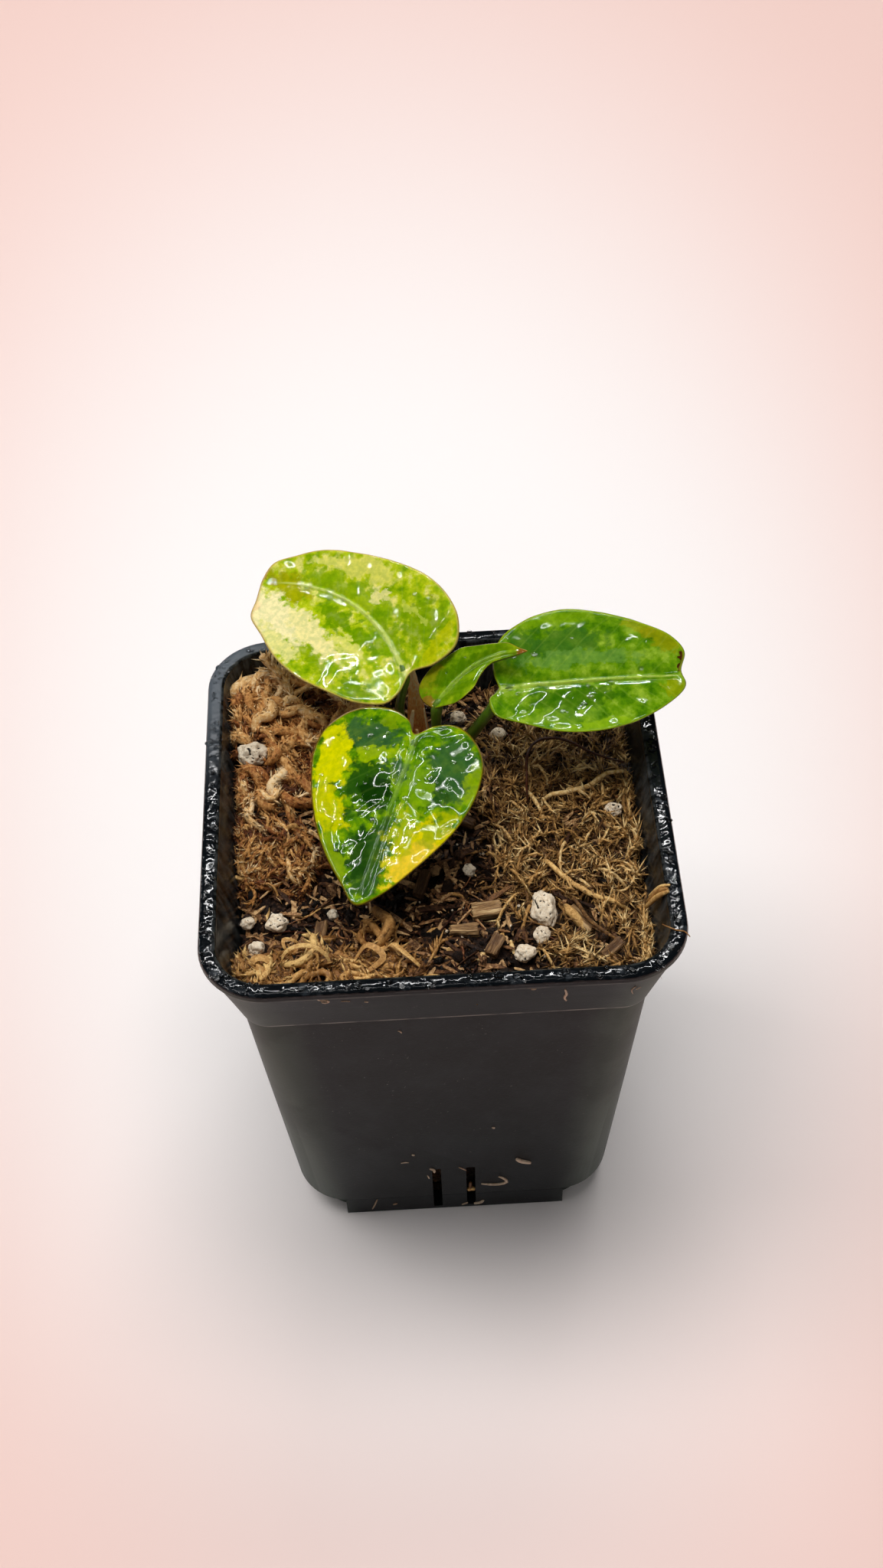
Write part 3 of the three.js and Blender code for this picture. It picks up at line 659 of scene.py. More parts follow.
def potMaterial():
    material = newMaterial("blackPlastic", SpecularIORLevel=0.2)
    place = millimetres()
    x, y, z = apart(place)
    outward = vectorMaths("DOT_PRODUCT", node("ShaderNodeTexCoord", output="Normal"),
                          stretched(place, (0.05, 0.05, 0)), "Value")
    isHigh = fade(z, 78.3, 78.7)
    isInside = fade(outward, -0.3, -0.7)
    # colour: charcoal body with faint clouds, and a painted reflection that turns the corners a lighter
    # greenish grey
    clouds = mottle(place, 0.07, 5.0, 0.35, 0.7)
    body = mixed(clouds, (15, 18, 20), (28, 32, 35))
    body = mixed(times(mottle(place, 1.1, 5.0, 0.45, 0.8), 0.22), body, (44, 49, 52))
    # painted highlight: the collar above its step is painted a little lighter, as light falls on its slope
    body = mixed(fade(z, 64.5, 64.9, 0.0, 0.25), body, (42, 45, 48))
    # painted reflection: the rounded corners are painted a lighter greenish grey, as if they mirrored the
    # pale floor
    wide, deep = maths("ABSOLUTE", x), maths("ABSOLUTE", y)
    corner = fade(minus(maths("MINIMUM", wide, deep), minus(greater(wide, deep), 7.5)), -3.5, 5.5)
    body = mixed(times(corner, fade(clouds, 0.0, 0.8, 0.6, 0.85)), body, (80, 90, 82))
    # painted highlight: thin pale lines along the collar step and the lip's outer edge, broken by noise
    for low, high in pot["lightLines"]:
        line = times(fade(z, low - 0.06, low), fade(z, high + 0.06, high))
        line = times(line, fade(grain(place, 0.25, 3.0), 0.35, 0.6, 0.15, 0.75))
        body = mixed(line, body, (138, 134, 128))
    dust = fade(grain(place, 2.2, 2.0), 0.71, 0.76, 0.0, 0.5)
    body = mixed(times(dust, fade(grain(place, 0.12, 2.0), 0.45, 0.6)), body, (134, 130, 122))
    # the rim is dry in pits, and at the back left a grey-blue painted sheen lies on it where the surface is
    # also made rougher
    pits = times(fade(grain(place, 0.5, 4.0, 0.6), 0.5, 0.7), 0.2)
    dryPitsAndSheen = greater(pits, times(fade(minus(y, x), 34, 60), 0.85))
    # inside the wall: painted shade makes it darker than the outside, and vertical streaks are painted on as
    # reflections
    insideReflectionStreaks = fade(grain(stretched(place, (1, 1, 0.08)), 0.9, 3.0), 0.35, 0.7)
    colour = mixed(isHigh, body, mixed(dryPitsAndSheen, (11, 14, 17), (84, 91, 98)))
    colour = mixed(isInside, colour, mixed(insideReflectionStreaks, (7, 9, 10), (52, 54, 54)))
    # roughness: satin body, wet rim and inside
    rough = mixed(isHigh, (0.5, 0.5, 0.5, 1), mixed(dryPitsAndSheen, (0.07, 0.07, 0.07, 1), (0.45, 0.45, 0.45, 1)))
    rough = mixed(isInside, rough, (0.22, 0.22, 0.22, 1))
    # relief: beads and pits of water on the rim, fine orange peel on the body
    film = effect("waterFilm", Place=place, Ripple=0.55, Bead=0.8, Beads=0.25)
    normal = bump(times(film, isHigh), 0.16)
    normal = bump(times(grain(place, 2.2, 4.0), minus(1.0, isHigh)), 0.02, normal)
    return paint(material, BaseColor=colour, Roughness=rough, Normal=normal)


# What clings to the outside of the pot

clinging = {
    # points on the front wall (x, z), radius and tint of each fibre or flake
    "fibres": [
        ([(-18.3, 76.7), (-17.7, 75.9), (-16.9, 75.7), (-16.6, 74.9), (-17.3, 74.6),
          (-17.6, 75.1)], 0.16, 0.8),
        ([(-14.9, 74.8), (-14.2, 74.9), (-13.6, 74.6)], 0.1, 0.7),
        ([(-11.6, 74.2), (-11.1, 73.9)], 0.14, 0.75),
        ([(4.4, 77.0), (6.6, 76.7), (9.1, 76.7), (12.2, 75.9)], 0.07, 0.6),
        ([(12.0, 75.6), (12.7, 75.8)], 0.16, 0.85),
        ([(16.8, 74.9), (17.1, 72.6), (16.9, 71.2), (17.2, 69.8)], 0.2, 0.85),
        ([(26.9, 74.4), (26.4, 72.9), (26.7, 71.0)], 0.09, 0.7), ([(27.0, 72.9), (27.6, 73.9)], 0.07, 0.75),
        ([(-7.3, 61.2), (-7.0, 61.0), (-6.8, 60.5)], 0.13, 0.8),
        ([(10.5, 17.7), (11.2, 16.9), (12.1, 16.4), (12.8, 16.0)], 0.42, 1.0),
        ([(4.6, 9.1), (5.6, 8.8), (6.9, 8.6), (8.1, 8.7), (8.9, 9.3), (8.4, 10.6), (7.6, 11.4)], 0.27, 0.88),
        ([(-6.7, 21.1), (-6.3, 20.9)], 0.2, 1.0), ([(6.5, 29.2), (6.9, 28.9)], 0.2, 1.0),
        ([(-3.9, 15.7), (-3.3, 15.2), (-3.2, 14.3)], 0.26, 0.75),
        ([(0.9, 15.6), (1.5, 15.0), (2.1, 14.3)], 0.14, 0.6), ([(-4.4, 13.2), (-4.1, 12.0)], 0.12, 0.95),
        ([(-8.6, 18.2), (-8.0, 18.4), (-7.3, 18.3)], 0.12, 1.0),
        ([(-14.2, 1.2), (-13.7, 3.0), (-13.2, 5.0)], 0.16, 0.55), ([(-10.6, 2.6), (-9.9, 2.9)], 0.2, 0.5),
        ([(3.3, 1.2), (4.4, 1.6), (4.9, 2.3)], 0.28, 0.9), ([(1.2, 1.0), (2.2, 1.7)], 0.18, 0.8),
    ],
    "inSlot": [
        ([(2.3, 6.0), (2.9, 6.4), (3.5, 6.1)], 0.45, 0.85), ([(2.8, 8.8), (2.7, 7.2), (3.0, 6.2)], 0.3, 0.15),
    ],
    "overRim": [
        ([(31.2, -26.0, 78.9), (32.0, -26.8, 79.25), (33.2, -27.5, 79.3), (34.2, -27.7, 79.2),
          (34.9, -28.3, 78.7)], 0.11, 0.45),
        ([(29.8, -19.6, 74.6), (31.4, -20.0, 77.6), (32.8, -20.3, 79.1)], 0.42, 0.75),
        ([(30.4, -18.4, 75.6), (32.0, -18.9, 78.5), (33.1, -19.3, 79.2)], 0.3, 0.9),
        ([(30.2, -18.9, 75.2), (31.9, -19.5, 78.4), (32.7, -20.0, 79.2)], 0.4, 0.5),
    ],
}


def wallAt(z):
    # how far in front of the middle the pot's front wall stands at a height
    return float(np.interp(z, *zip(*pot["wall"])))


def makeClinging(paleMaterial, goldMaterial):
    fibres = [([(x, -wallAt(z) - radius * 0.3, z) for x, z in points], radius, tint)
              for points, radius, tint in clinging["fibres"]]
    finishPiece(strandPiece(namedStrands(fibres, 12)), "clingingDebris", paleMaterial)
    inSlot = [([(x, -wallAt(z) + 0.5, z) for x, z in points], radius, tint)
              for points, radius, tint in clinging["inSlot"]]
    bright = strandPiece(namedStrands(inSlot + clinging["overRim"], 14))
    finishPiece(bright, "rimFibres", goldMaterial)


# Ground: where the surface of the mix lies, and which moss covers it

ground = {
    "level": 70.0,
    "lift": 0.6,
    "half": 29.9,
    "corner": 4.6,
    "hang": (0.26, 71),  # strands reach further out where the mix is higher than this
    # x, y, width, depth, rise
    "hills": [(-26, 21, 10, 13, 4.2), (0, 14, 7, 7, 1.2), (24, 4, 12, 14, 1.3), (-14, -27, 12, 5, 1.3),
              (-20, -14, 8, 6, -0.8)],
}
mossOutlines = {
    "backLeft": [(-35, 35), (-17, 35), (-7, 31), (-7.5, 21), (-11, 12), (-17, 7.5), (-24, 4.8), (-35, 4.6)],
    "left": [(-35, 1), (-23, 1.4), (-17.5, 0), (-17, -6), (-20, -9.5), (-28, -10.5), (-35, -9)],
    "front": [(-35, -22.5), (-24, -22.5), (-14, -20.5), (-11, -15), (-6.5, -15.5), (-6, -22), (-2.5, -23.5),
              (-3, -35), (-35, -35)],
    "right": [(8, 24), (20, 27), (35, 26), (35, -28), (24, -33), (15, -27), (11, -18), (8, -8), (7, 5)],
}


def groundHeight(x, y):
    height = ground["level"] + 0.35 * np.sin(0.55 * x + 0.3 * y) + 0.3 * np.sin(0.47 * y - 0.25 * x + 1)
    for cx, cy, wide, deep, rise in ground["hills"]:
        height = height + rise * np.exp(-(((x - cx) / wide) ** 2 + ((y - cy) / deep) ** 2) / 2)
    return height


def insideOutline(x, y, outline):
    # distance inside an outline, less than nothing outside it
    x, y = np.atleast_1d(x).astype(float), np.atleast_1d(y).astype(float)
    nearest = np.full(x.shape, 1e9)
    inside = np.zeros(x.shape, bool)
    for (ax, ay), (bx, by) in zip(outline, outline[1:] + outline[:1]):
        dx, dy = bx - ax, by - ay
        t = np.clip(((x - ax) * dx + (y - ay) * dy) / (dx * dx + dy * dy), 0, 1)
        nearest = np.minimum(nearest, np.hypot(x - ax - t * dx, y - ay - t * dy))
        if dy:
            crosses = ((ay > y) != (by > y)) & (x < ax + dx * (y - ay) / dy)
            inside ^= crosses
    return np.where(inside, nearest, -nearest)


def cover(x, y, soft=2.0):
    # how much of each moss there is at a place, from 0 to 1
    return [smoothstep(-soft * 0.6, soft, insideOutline(x, y, mossOutlines[k]))
            for k in ("backLeft", "left", "front", "right")]


surfaceGrid = {"half": 36, "perMm": 4}


def surfaceTable():
    count = 2 * surfaceGrid["half"] * surfaceGrid["perMm"] + 1
    steps = np.linspace(-surfaceGrid["half"], surfaceGrid["half"], count)
    x, y = (k.ravel() for k in np.meshgrid(steps, steps, indexing="ij"))
    mossy = np.array(cover(x, y)).max(axis=0)
    heights = groundHeight(x, y) + ground["lift"] * mossy
    return heights.reshape(count, count), mossy.reshape(count, count)


surfaceHeights, mossShares = surfaceTable()


def lookUp(table, x, y):
    # the table's value at a place
    at = [round((k + surfaceGrid["half"]) * surfaceGrid["perMm"]) for k in (x, y)]
    return float(table[tuple(min(len(table) - 1, max(0, k)) for k in at)])


def surface(x, y):
    return lookUp(surfaceHeights, x, y)


def onSurface(x, y, lift):
    return x, y, surface(x, y) + lift


def keptInside(x, y, margin):
    # a place moved inside the pot's wall
    half, corner = ground["half"] - margin, ground["corner"]
    x, y = max(-half, min(half, x)), max(-half, min(half, y))
    across, deep = abs(x) - (half - corner), abs(y) - (half - corner)
    if across > 0 and deep > 0:
        reach = math.hypot(across, deep)
        if reach > corner:
            x = math.copysign(half - corner + across * corner / reach, x)
            y = math.copysign(half - corner + deep * corner / reach, y)
    return x, y


# Potting mix

mix = {
    "fineness": 240,
    "lumps": ((2.6, 0.55, 3.3), (0.9, 0.22, 7.1)),  # size, height and seed of its clods and crumbs
    "dip": (1.6, 2.2),  # how far it falls towards the wall, and from how far away
    # half width, corner radius and height of its sides, going down
    "sides": [(28.5, 3.2, 64.6), (25.35, 7.04, 7.8), (23.4, 7.7, 6.1), (23.4, 7.7, 1.7)],
    "tones": [(0.32, 12, 8, 7), (0.5, 34, 23, 18), (0.62, 62, 42, 30), (0.75, 108, 80, 54)],
    # dark and light under each moss
    "underMoss": [((52, 28, 17), (150, 94, 58)), ((34, 19, 13), (100, 58, 36)), ((52, 32, 18), (136, 92, 52)),
                  ((24, 16, 11), (88, 64, 40))],
}


def makeBed(material):
    bed = add("grid", x_subdivisions=mix["fineness"], y_subdivisions=mix["fineness"], size=2)
    half, corner = ground["half"], ground["corner"]
    flat = coordinates(bed)[:, :2] * half
    within = np.abs(flat) - (half - corner)
    inCorner = (within > 0).all(axis=1)
    squash = within[inCorner].max(axis=1) / np.hypot(within[inCorner, 0], within[inCorner, 1])
    flat[inCorner] = np.sign(flat[inCorner]) * ((half - corner) + within[inCorner] * squash[:, None])
    x, y = flat.T
    rise = groundHeight(x, y) + ground["lift"] * np.maximum.reduce(cover(x, y))
    spots = np.column_stack([x, y, rise * 0])
    for size, height, seed in mix["lumps"]:
        rise += height * roughness3d(spots, size, seed)
    fall, reach = mix["dip"]
    rise -= fall * smoothstep(reach, 0.0, half - np.maximum(np.abs(x), np.abs(y)))
    setCoordinates(bed, np.column_stack([x, y, rise]) * mm)
    takeUp(bed)
    openMesh()
    bpy.ops.mesh.region_to_loop()
    old = (half, corner, 0)
    for new in mix["sides"]:
        bpy.ops.mesh.extrude_region_move(TRANSFORM_OT_translate={"value": (0, 0, -mm)})
        moveSelected(bed, lambda point: squareToSquare(point, old, new))
        old = new
    bpy.ops.mesh.edge_face_add()
    faceOut()
    places = coordinates(bed) / mm
    setAttribute(bed, "cover", np.column_stack(cover(places[:, 0], places[:, 1], 2.6)))
    finishPiece(bed, "pottingBed", material, ("potting_mix",))


def bedMaterial():
    material = newMaterial("darkPeat", SpecularIORLevel=0.35)
    place = millimetres()
    found = attribute("cover").node.outputs
    masks = [*node("ShaderNodeSeparateColor", {0: found["Color"]}).node.outputs[:3], found["Alpha"]]
    crumbs = grain(place, 1.6, 5.0, 0.65)
    colour = ramp(crumbs, mix["tones"])
    for mask, (dark, light) in zip(masks, mix["underMoss"]):
        colour = mixed(mask, colour, mixed(fade(crumbs, 0.38, 0.66), dark, light))
    rough = fade(mottle(place, 0.5, 3.0, 0.45, 0.6), 0, 1, 0.85, 0.42)
    return paint(material, BaseColor=colour, Roughness=rough, Normal=bump(grain(place, 2.4, 6.0, 0.7), 0.5))


looseTones = {
    "brown": [(0.0, 13, 9, 8), (0.45, 38, 26, 19), (0.75, 96, 64, 40), (1.0, 196, 152, 104)],
    "wood": [(0.0, 24, 15, 10), (0.35, 70, 43, 26), (0.7, 140, 98, 60), (1.0, 214, 174, 122)],
    "root": [(0.0, 34, 16, 10), (0.6, 92, 46, 24), (1.0, 160, 110, 66)],
    "orange": [(0.0, 70, 34, 16), (0.3, 150, 90, 42), (0.6, 210, 152, 86), (0.85, 238, 194, 130),
               (1.0, 248, 218, 170)],
    "redBrown": [(0.0, 42, 21, 12), (0.35, 118, 66, 32), (0.65, 186, 130, 68), (0.88, 220, 172, 106),
                 (1.0, 232, 200, 150)],
    "gold": [(0.0, 72, 42, 18), (0.4, 140, 94, 46), (0.75, 192, 144, 82), (1.0, 232, 192, 122)],
    "straw": [(0.0, 38, 23, 14), (0.3, 100, 68, 36), (0.6, 168, 124, 68), (0.85, 216, 172, 106),
              (1.0, 238, 206, 146)],
    "debris": [(0.0, 84, 62, 46), (0.6, 160, 134, 108), (1.0, 206, 186, 162)],
    "scale": [(0.0, 130, 58, 24), (0.35, 224, 130, 60), (0.7, 250, 188, 110), (1.0, 254, 230, 180)],
}


def looseMaterial(name, tones, depth, rough=(0.8, 0.45), fibre=(1, 1, 1)):
    # strands, crumbs and splinters: each copy's tint picks its colour, with streaks and damp places
    material = newMaterial(name, SpecularIORLevel=0.4)
    place = millimetres()
    streak = fade(grain(stretched(place, fibre), 2.0, 4.0, 0.65), 0.25, 0.75, -0.22, 0.22)
    colour = ramp(maths("ADD", attribute("tint"), streak, clamp=True), looseTones[tones])
    rough = fade(mottle(place, 0.35, 2.0, 0.42, 0.62), 0, 1, *rough)
    return paint(material, BaseColor=colour, Roughness=rough, Normal=bump(grain(place, 3.2, 5.0, 0.7), depth))


# Small shapes, about a millimetre long, to be copied many times

smallShapes = {
    "crumb": ("ico_sphere", {"subdivisions": 1, "radius": 1}),
    "bead": ("uv_sphere", {"segments": 9, "ring_count": 6, "radius": 1}),
    "splinter": ("cube", {"size": 2}),
    "leaflet": ("cone", {"vertices": 4, "radius1": 1, "radius2": 0, "depth": 2, "end_fill_type": "NGON"}),
}


def smallShape(kind, seed):
    # its points and faces; the object itself is put away
    primitive, settings = smallShapes[kind]
    piece = add(primitive, **settings)
    openMesh()
    if kind == "splinter":
        bpy.ops.mesh.subdivide(number_cuts=1)
    if kind != "bead":
        bpy.ops.transform.vertex_random(offset=0.32, uniform=0.1, seed=seed)
    if kind == "splinter":
        pick(piece, lambda point: point.co.x > 0.6)
        bpy.ops.transform.resize(value=(1, 0.45, 0.5))
        pick(piece, lambda point: point.co.x < -0.6)
        bpy.ops.transform.resize(value=(1, 0.7, 0.6))
    closeMesh()
    points, faces = coordinates(piece), [tuple(face.vertices) for face in piece.data.polygons]
    bpy.data.objects.remove(piece)
    return points, faces


def smallOnes(kind, *seeds):
    return [smallShape(kind, seed) for seed in seeds]


loose = {
    "crumbs": 4200,
    "splinters": 2600,
    "rootlets": 70,
    "whiteCrumbs": 110,
    # middle size, spread and largest size, and the share of those on moss that are left out
    "crumb": (0.3, 0.55, 1.3, 0.72),
    "splinter": (1.0, 0.5, 3.2, 0.3),
}


def makeLoose(crumbMaterial, splinterMaterial, rootMaterial, whiteMaterial):
    chance = random.Random(41)
    crumbShapes = smallOnes("crumb", 1, 2, 3, 4)
    copies = []
    middle, spread, largest, leftOut = loose["crumb"]
    while len(copies) < loose["crumbs"]:
        x, y = keptInside(chance.uniform(-30, 30), chance.uniform(-30, 30), 0.5)
        if chance.random() < leftOut * lookUp(mossShares, x, y):
            continue
        size = min(middle * math.exp(chance.gauss(0, spread)), largest)
        if not clearOfStones([(x, y)], size):
            continue
        turn = anyTurn(chance)
        shape = (size * chance.uniform(0.8, 1.5), size, size * chance.uniform(0.5, 0.9))
        copies.append((chance.randrange(4), onSurface(x, y, size * 0.35), turn, shape, chance.random() ** 2))
    finishPiece(scatterPiece(crumbShapes, copies), "peatCrumbs", crumbMaterial, angle=50)
    copies = []
    for _ in range(loose["whiteCrumbs"]):
        x, y = keptInside(chance.uniform(-29, 29), chance.uniform(-29, 24), 0.8)
        size = chance.uniform(0.1, 0.3)
        turn = anyTurn(chance)
        which = chance.randrange(4)
        copies.append((which, onSurface(x, y, chance.uniform(0.2, 0.7)), turn, (size,) * 3, 0.2))
    finishPiece(scatterPiece(crumbShapes, copies), "perliteCrumbs", whiteMaterial, angle=50)
    copies = []
    middle, spread, largest, leftOut = loose["splinter"]
    while len(copies) < loose["splinters"]:
        x, y = keptInside(chance.uniform(-30, 30), chance.uniform(-30, 30), 1.2)
        if chance.random() < leftOut * lookUp(mossShares, x, y):
            continue
        length = min(middle * math.exp(chance.gauss(0, spread)), largest)
        if not clearOfStones([(x, y)], 0.6):
            continue
        wide = chance.uniform(0.12, 0.34) * length ** 0.4
        turn = Euler((chance.gauss(0, 0.5), chance.gauss(0, 0.22), chance.uniform(0, 6.3)))
        shape = (length, wide, wide * chance.uniform(0.3, 0.6))
        place = onSurface(x, y, chance.uniform(0.05, 0.7))
        copies.append((chance.randrange(3), place, turn, shape, chance.random()))
    splinters = scatterPiece(smallOnes("splinter", 5, 6, 7), copies)
    finishPiece(splinters, "barkSplinters", splinterMaterial, angle=50)
    strands = []
    for _ in range(loose["rootlets"]):
        start = (chance.uniform(-27, 27), chance.uniform(-28, 22))
        strands.append(wander(chance, start, chance.uniform(4, 14), 12, 0.3, chance.uniform(0.3, 1.0),
                              chance.uniform(0.09, 0.2), chance.random()))
    finishPiece(strandPiece(strands, 0), "fineRootlets", rootMaterial)


def flowAt(x, y, flow):
    # the way that the moss is combed at a place
    size, seed, _ = flow
    return math.pi * (0.3 + 2.4 * noise.noise(Vector((x / size + seed, y / size, seed))))


def wander(chance, start, length, steps, curl, rise, radius, tint, flow=None):
    # a strand that wanders over the mix from a start, arches a little on its way and dips at its ends
    x, y = start
    heading = chance.uniform(0, 2 * math.pi)
    if flow:
        heading = flowAt(x, y, flow) + chance.gauss(0, 0.45) + math.pi * chance.randrange(2)
        back = math.cos(heading - flowAt(x, y, flow)) < 0
    turn = 0.0
    points = []
    margin = radius + chance.uniform(-0.9, 0.5)
    hang, above = ground["hang"]
    for i in range(steps + 1):
        share = i / steps
        x, y = keptInside(x, y, margin - hang * (surface(x, y) - above))
        lift = rise * math.sin(math.pi * share) + radius * 0.4 - 0.3 * (abs(2 * share - 1) ** 4)
        points.append(onSurface(x, y, lift))
        turn = 0.65 * turn + chance.gauss(0, curl)
        heading += turn
        if flow:
            wanted = flowAt(x, y, flow) + (math.pi if back else 0)
            heading += flow[2] * math.remainder(wanted - heading, 2 * math.pi)
        x += length / steps * math.cos(heading)
        y += length / steps * math.sin(heading)
    return smoothPath(points, steps + 1), radius * taper(steps + 1, 0.35, 0.6, 0.06, 0.86), tint


# Moss

def clearOfStones(points, margin=0.15):
    # whether the points keep off the perlite and the bark chips, which lie on top
    x, y = np.asarray(points)[:, 0, None], np.asarray(points)[:, 1, None]
    gx, gy, wide, deep, _ = np.array(grains["places"]).T
    if (((x - gx) / (wide + margin)) ** 2 + ((y - gy) / (deep + margin)) ** 2 < 1).any():
        return False
    cx, cy, length, wide, _, turn = np.array(chips["places"]).T
    c, s = np.cos(np.radians(turn)), np.sin(np.radians(turn))
    along, across = (x - cx) * c + (y - cy) * s, (y - cy) * c - (x - cx) * s
    return not ((np.abs(along) < length / 2 + margin) & (np.abs(across) < wide / 2 + margin)).any()


mosses = {
    # how many strands, their length, radius, bends and arch; the flow is its size, seed and pull
    "mossBackLeft": {
        "node": "moss_back_left", "slot": "moss_orange", "area": "backLeft", "centre": (-22, 19),
        "spread": (12, 14), "strands": 270, "length": (4, 11), "radius": (0.3, 0.95), "curl": 0.22,
        "rise": (0.2, 2.4), "steps": 12, "flow": (7.0, 3.3, 0.3), "leaflets": 30,
        "leaflet": (0.85, 0.2, 0.07), "seed": 61, "sides": 1,
    },
    "mossLeft": {
        "node": "moss_left", "slot": "moss_brown", "area": "left", "centre": (-25, -4), "spread": (8, 6),
        "strands": 190, "length": (3, 7), "radius": (0.22, 0.5), "curl": 0.2, "rise": (0.2, 1.6),
        "steps": 9, "flow": (5.0, 8.1, 0.25), "leaflets": 16, "leaflet": (0.8, 0.2, 0.06), "seed": 62,
        "sides": 1,
    },
    "mossFront": {
        "node": "moss_front", "slot": "moss_gold", "area": "front", "centre": (-16, -26), "spread": (15, 5),
        "strands": 150, "length": (4, 9), "radius": (0.25, 0.7), "curl": 0.25, "rise": (0.2, 1.3),
        "steps": 10, "flow": (7.0, 5.7, 0.2), "leaflets": 12, "leaflet": (0.9, 0.3, 0.07), "seed": 63,
        "sides": 1,
    },
    "mossRight": {
        "node": "moss_right", "slot": "moss_straw", "area": "right", "centre": (20, -1), "spread": (12, 27),
        "strands": 760, "length": (2, 8), "radius": (0.1, 0.34), "curl": 0.12, "rise": (0.2, 2.2),
        "steps": 6, "flow": (11.0, 1.9, 0.08), "leaflets": 15, "leaflet": (1.25, 0.2, 0.06), "seed": 64,
        "sides": 0,
    },
}


def leafletsOn(strands, chance, count, size, shapes):
    copies = []
    for points, radii, tint in strands:
        for _ in range(count):
            at = chance.randrange(1, len(points) - 1)
            ahead = Vector(points[at + 1]) - Vector(points[at - 1])
            around = Vector((chance.gauss(0, 1), chance.gauss(0, 1), chance.gauss(0.5, 1)))
            around = (around - around.project(ahead)).normalized()
            lean = (ahead.normalized() * chance.uniform(0.4, 1.6) + around).normalized()
            turn = lean.to_track_quat("Z", "Y").to_euler()
            grow = chance.uniform(0.6, 1.3)
            place = Vector(points[at]) + around * radii[at] * 0.8 + lean * size[0] * grow * 0.6
            shape = (size[1] * grow, size[2] * grow, size[0] * grow)
            which = chance.randrange(len(shapes))
            copies.append((which, place, turn, shape, held(tint + chance.gauss(0.05, 0.15))))
    return scatterPiece(shapes, copies)


def makeMoss(name, material, extra=()):
    look = mosses[name]
    chance = random.Random(look["seed"])
    (cx, cy), (wide, deep) = look["centre"], look["spread"]
    strands = list(extra)
    while len(strands) < look["strands"] + len(extra):
        x, y = cx + chance.uniform(-wide, wide), cy + chance.uniform(-deep, deep)
        if insideOutline(x, y, mossOutlines[look["area"]])[0] < chance.uniform(-0.8, 0.8):
            continue
        length = chance.uniform(*look["length"])
        # strands that rise higher get a lighter tint and low ones a darker tint, a painted shade under the
        # upper strands
        height = chance.random() ** 1.3
        tint = held(0.12 + 0.7 * height + chance.gauss(0, 0.17))
        radius = chance.uniform(*look["radius"]) * (0.7 + 0.03 * length)
        strand = wander(chance, (x, y), length, look["steps"], look["curl"],
                        between(*look["rise"], height, 0, 1), radius, tint, look["flow"])
        if clearOfStones(strand[0]):
            strands.append(strand)
    piece = strandPiece(strands, look["sides"])
    shapes = smallOnes("leaflet", 8, 9, 10)
    piece = joined(piece, leafletsOn(strands, chance, look["leaflets"], look["leaflet"], shapes))
    finishPiece(piece, name, material, (look["node"],))


# strands that can be told apart in the moss: points, radius, tint
fatStrands = [
    ([(-33.0, 26.5, 73.4), (-31.2, 26.9, 75.6), (-29.1, 28.3, 76.2), (-27.1, 29.8, 75.2)], 1.25, 0.85),
    ([(-19.7, 16.5, 73.9), (-20.1, 18.7, 75.6), (-18.9, 20.3, 76), (-17.3, 20.1, 75.8),
      (-16.7, 18.5, 74.2)], 0.9, 0.7),
    ([(-26.5, 25.1, 75.6), (-25.1, 22.5, 77), (-25.1, 20.3, 77), (-27.1, 19.9, 76.8),
      (-27.7, 18.3, 75.4)], 1.0, 0.8),
    ([(-26.2, 15.7, 74.2), (-24.6, 14.0, 75.4), (-22.8, 14.4, 75.6), (-21.8, 15.9, 75.6),
      (-20.6, 17.5, 75)], 0.95, 0.62),
    ([(-32.2, 16.5, 73), (-31.0, 17.8, 75), (-29.6, 16.9, 75.4), (-28.4, 16.2, 74.4)], 1.0, 0.7),
    ([(-29.9, 11.4, 71.6), (-29.4, 10.2, 72.6), (-29.1, 8.6, 72.6), (-29.2, 6.8, 72.2),
      (-29.4, 5.2, 71)], 0.85, 0.7),
    ([(-26.8, 6.5, 71.4), (-25.2, 7.2, 73.6), (-23.5, 6.0, 73.8), (-22.3, 3.9, 73.2),
      (-22.3, 1.4, 71)], 0.8, 0.68),
]
goldenColumn = [
    ([(-9.8, -14.6, 70.8), (-8.9, -17.1, 72.8), (-7.7, -18.9, 73.4), (-8.4, -21.3, 73.4),
      (-10.2, -23.0, 72.4)], 0.95, 0.55),
    ([(-11.6, -16.5, 70.6), (-10.4, -18.2, 72.4), (-9.4, -20.4, 73.0), (-8.0, -22.6, 72.8)], 0.6, 0.55),
]
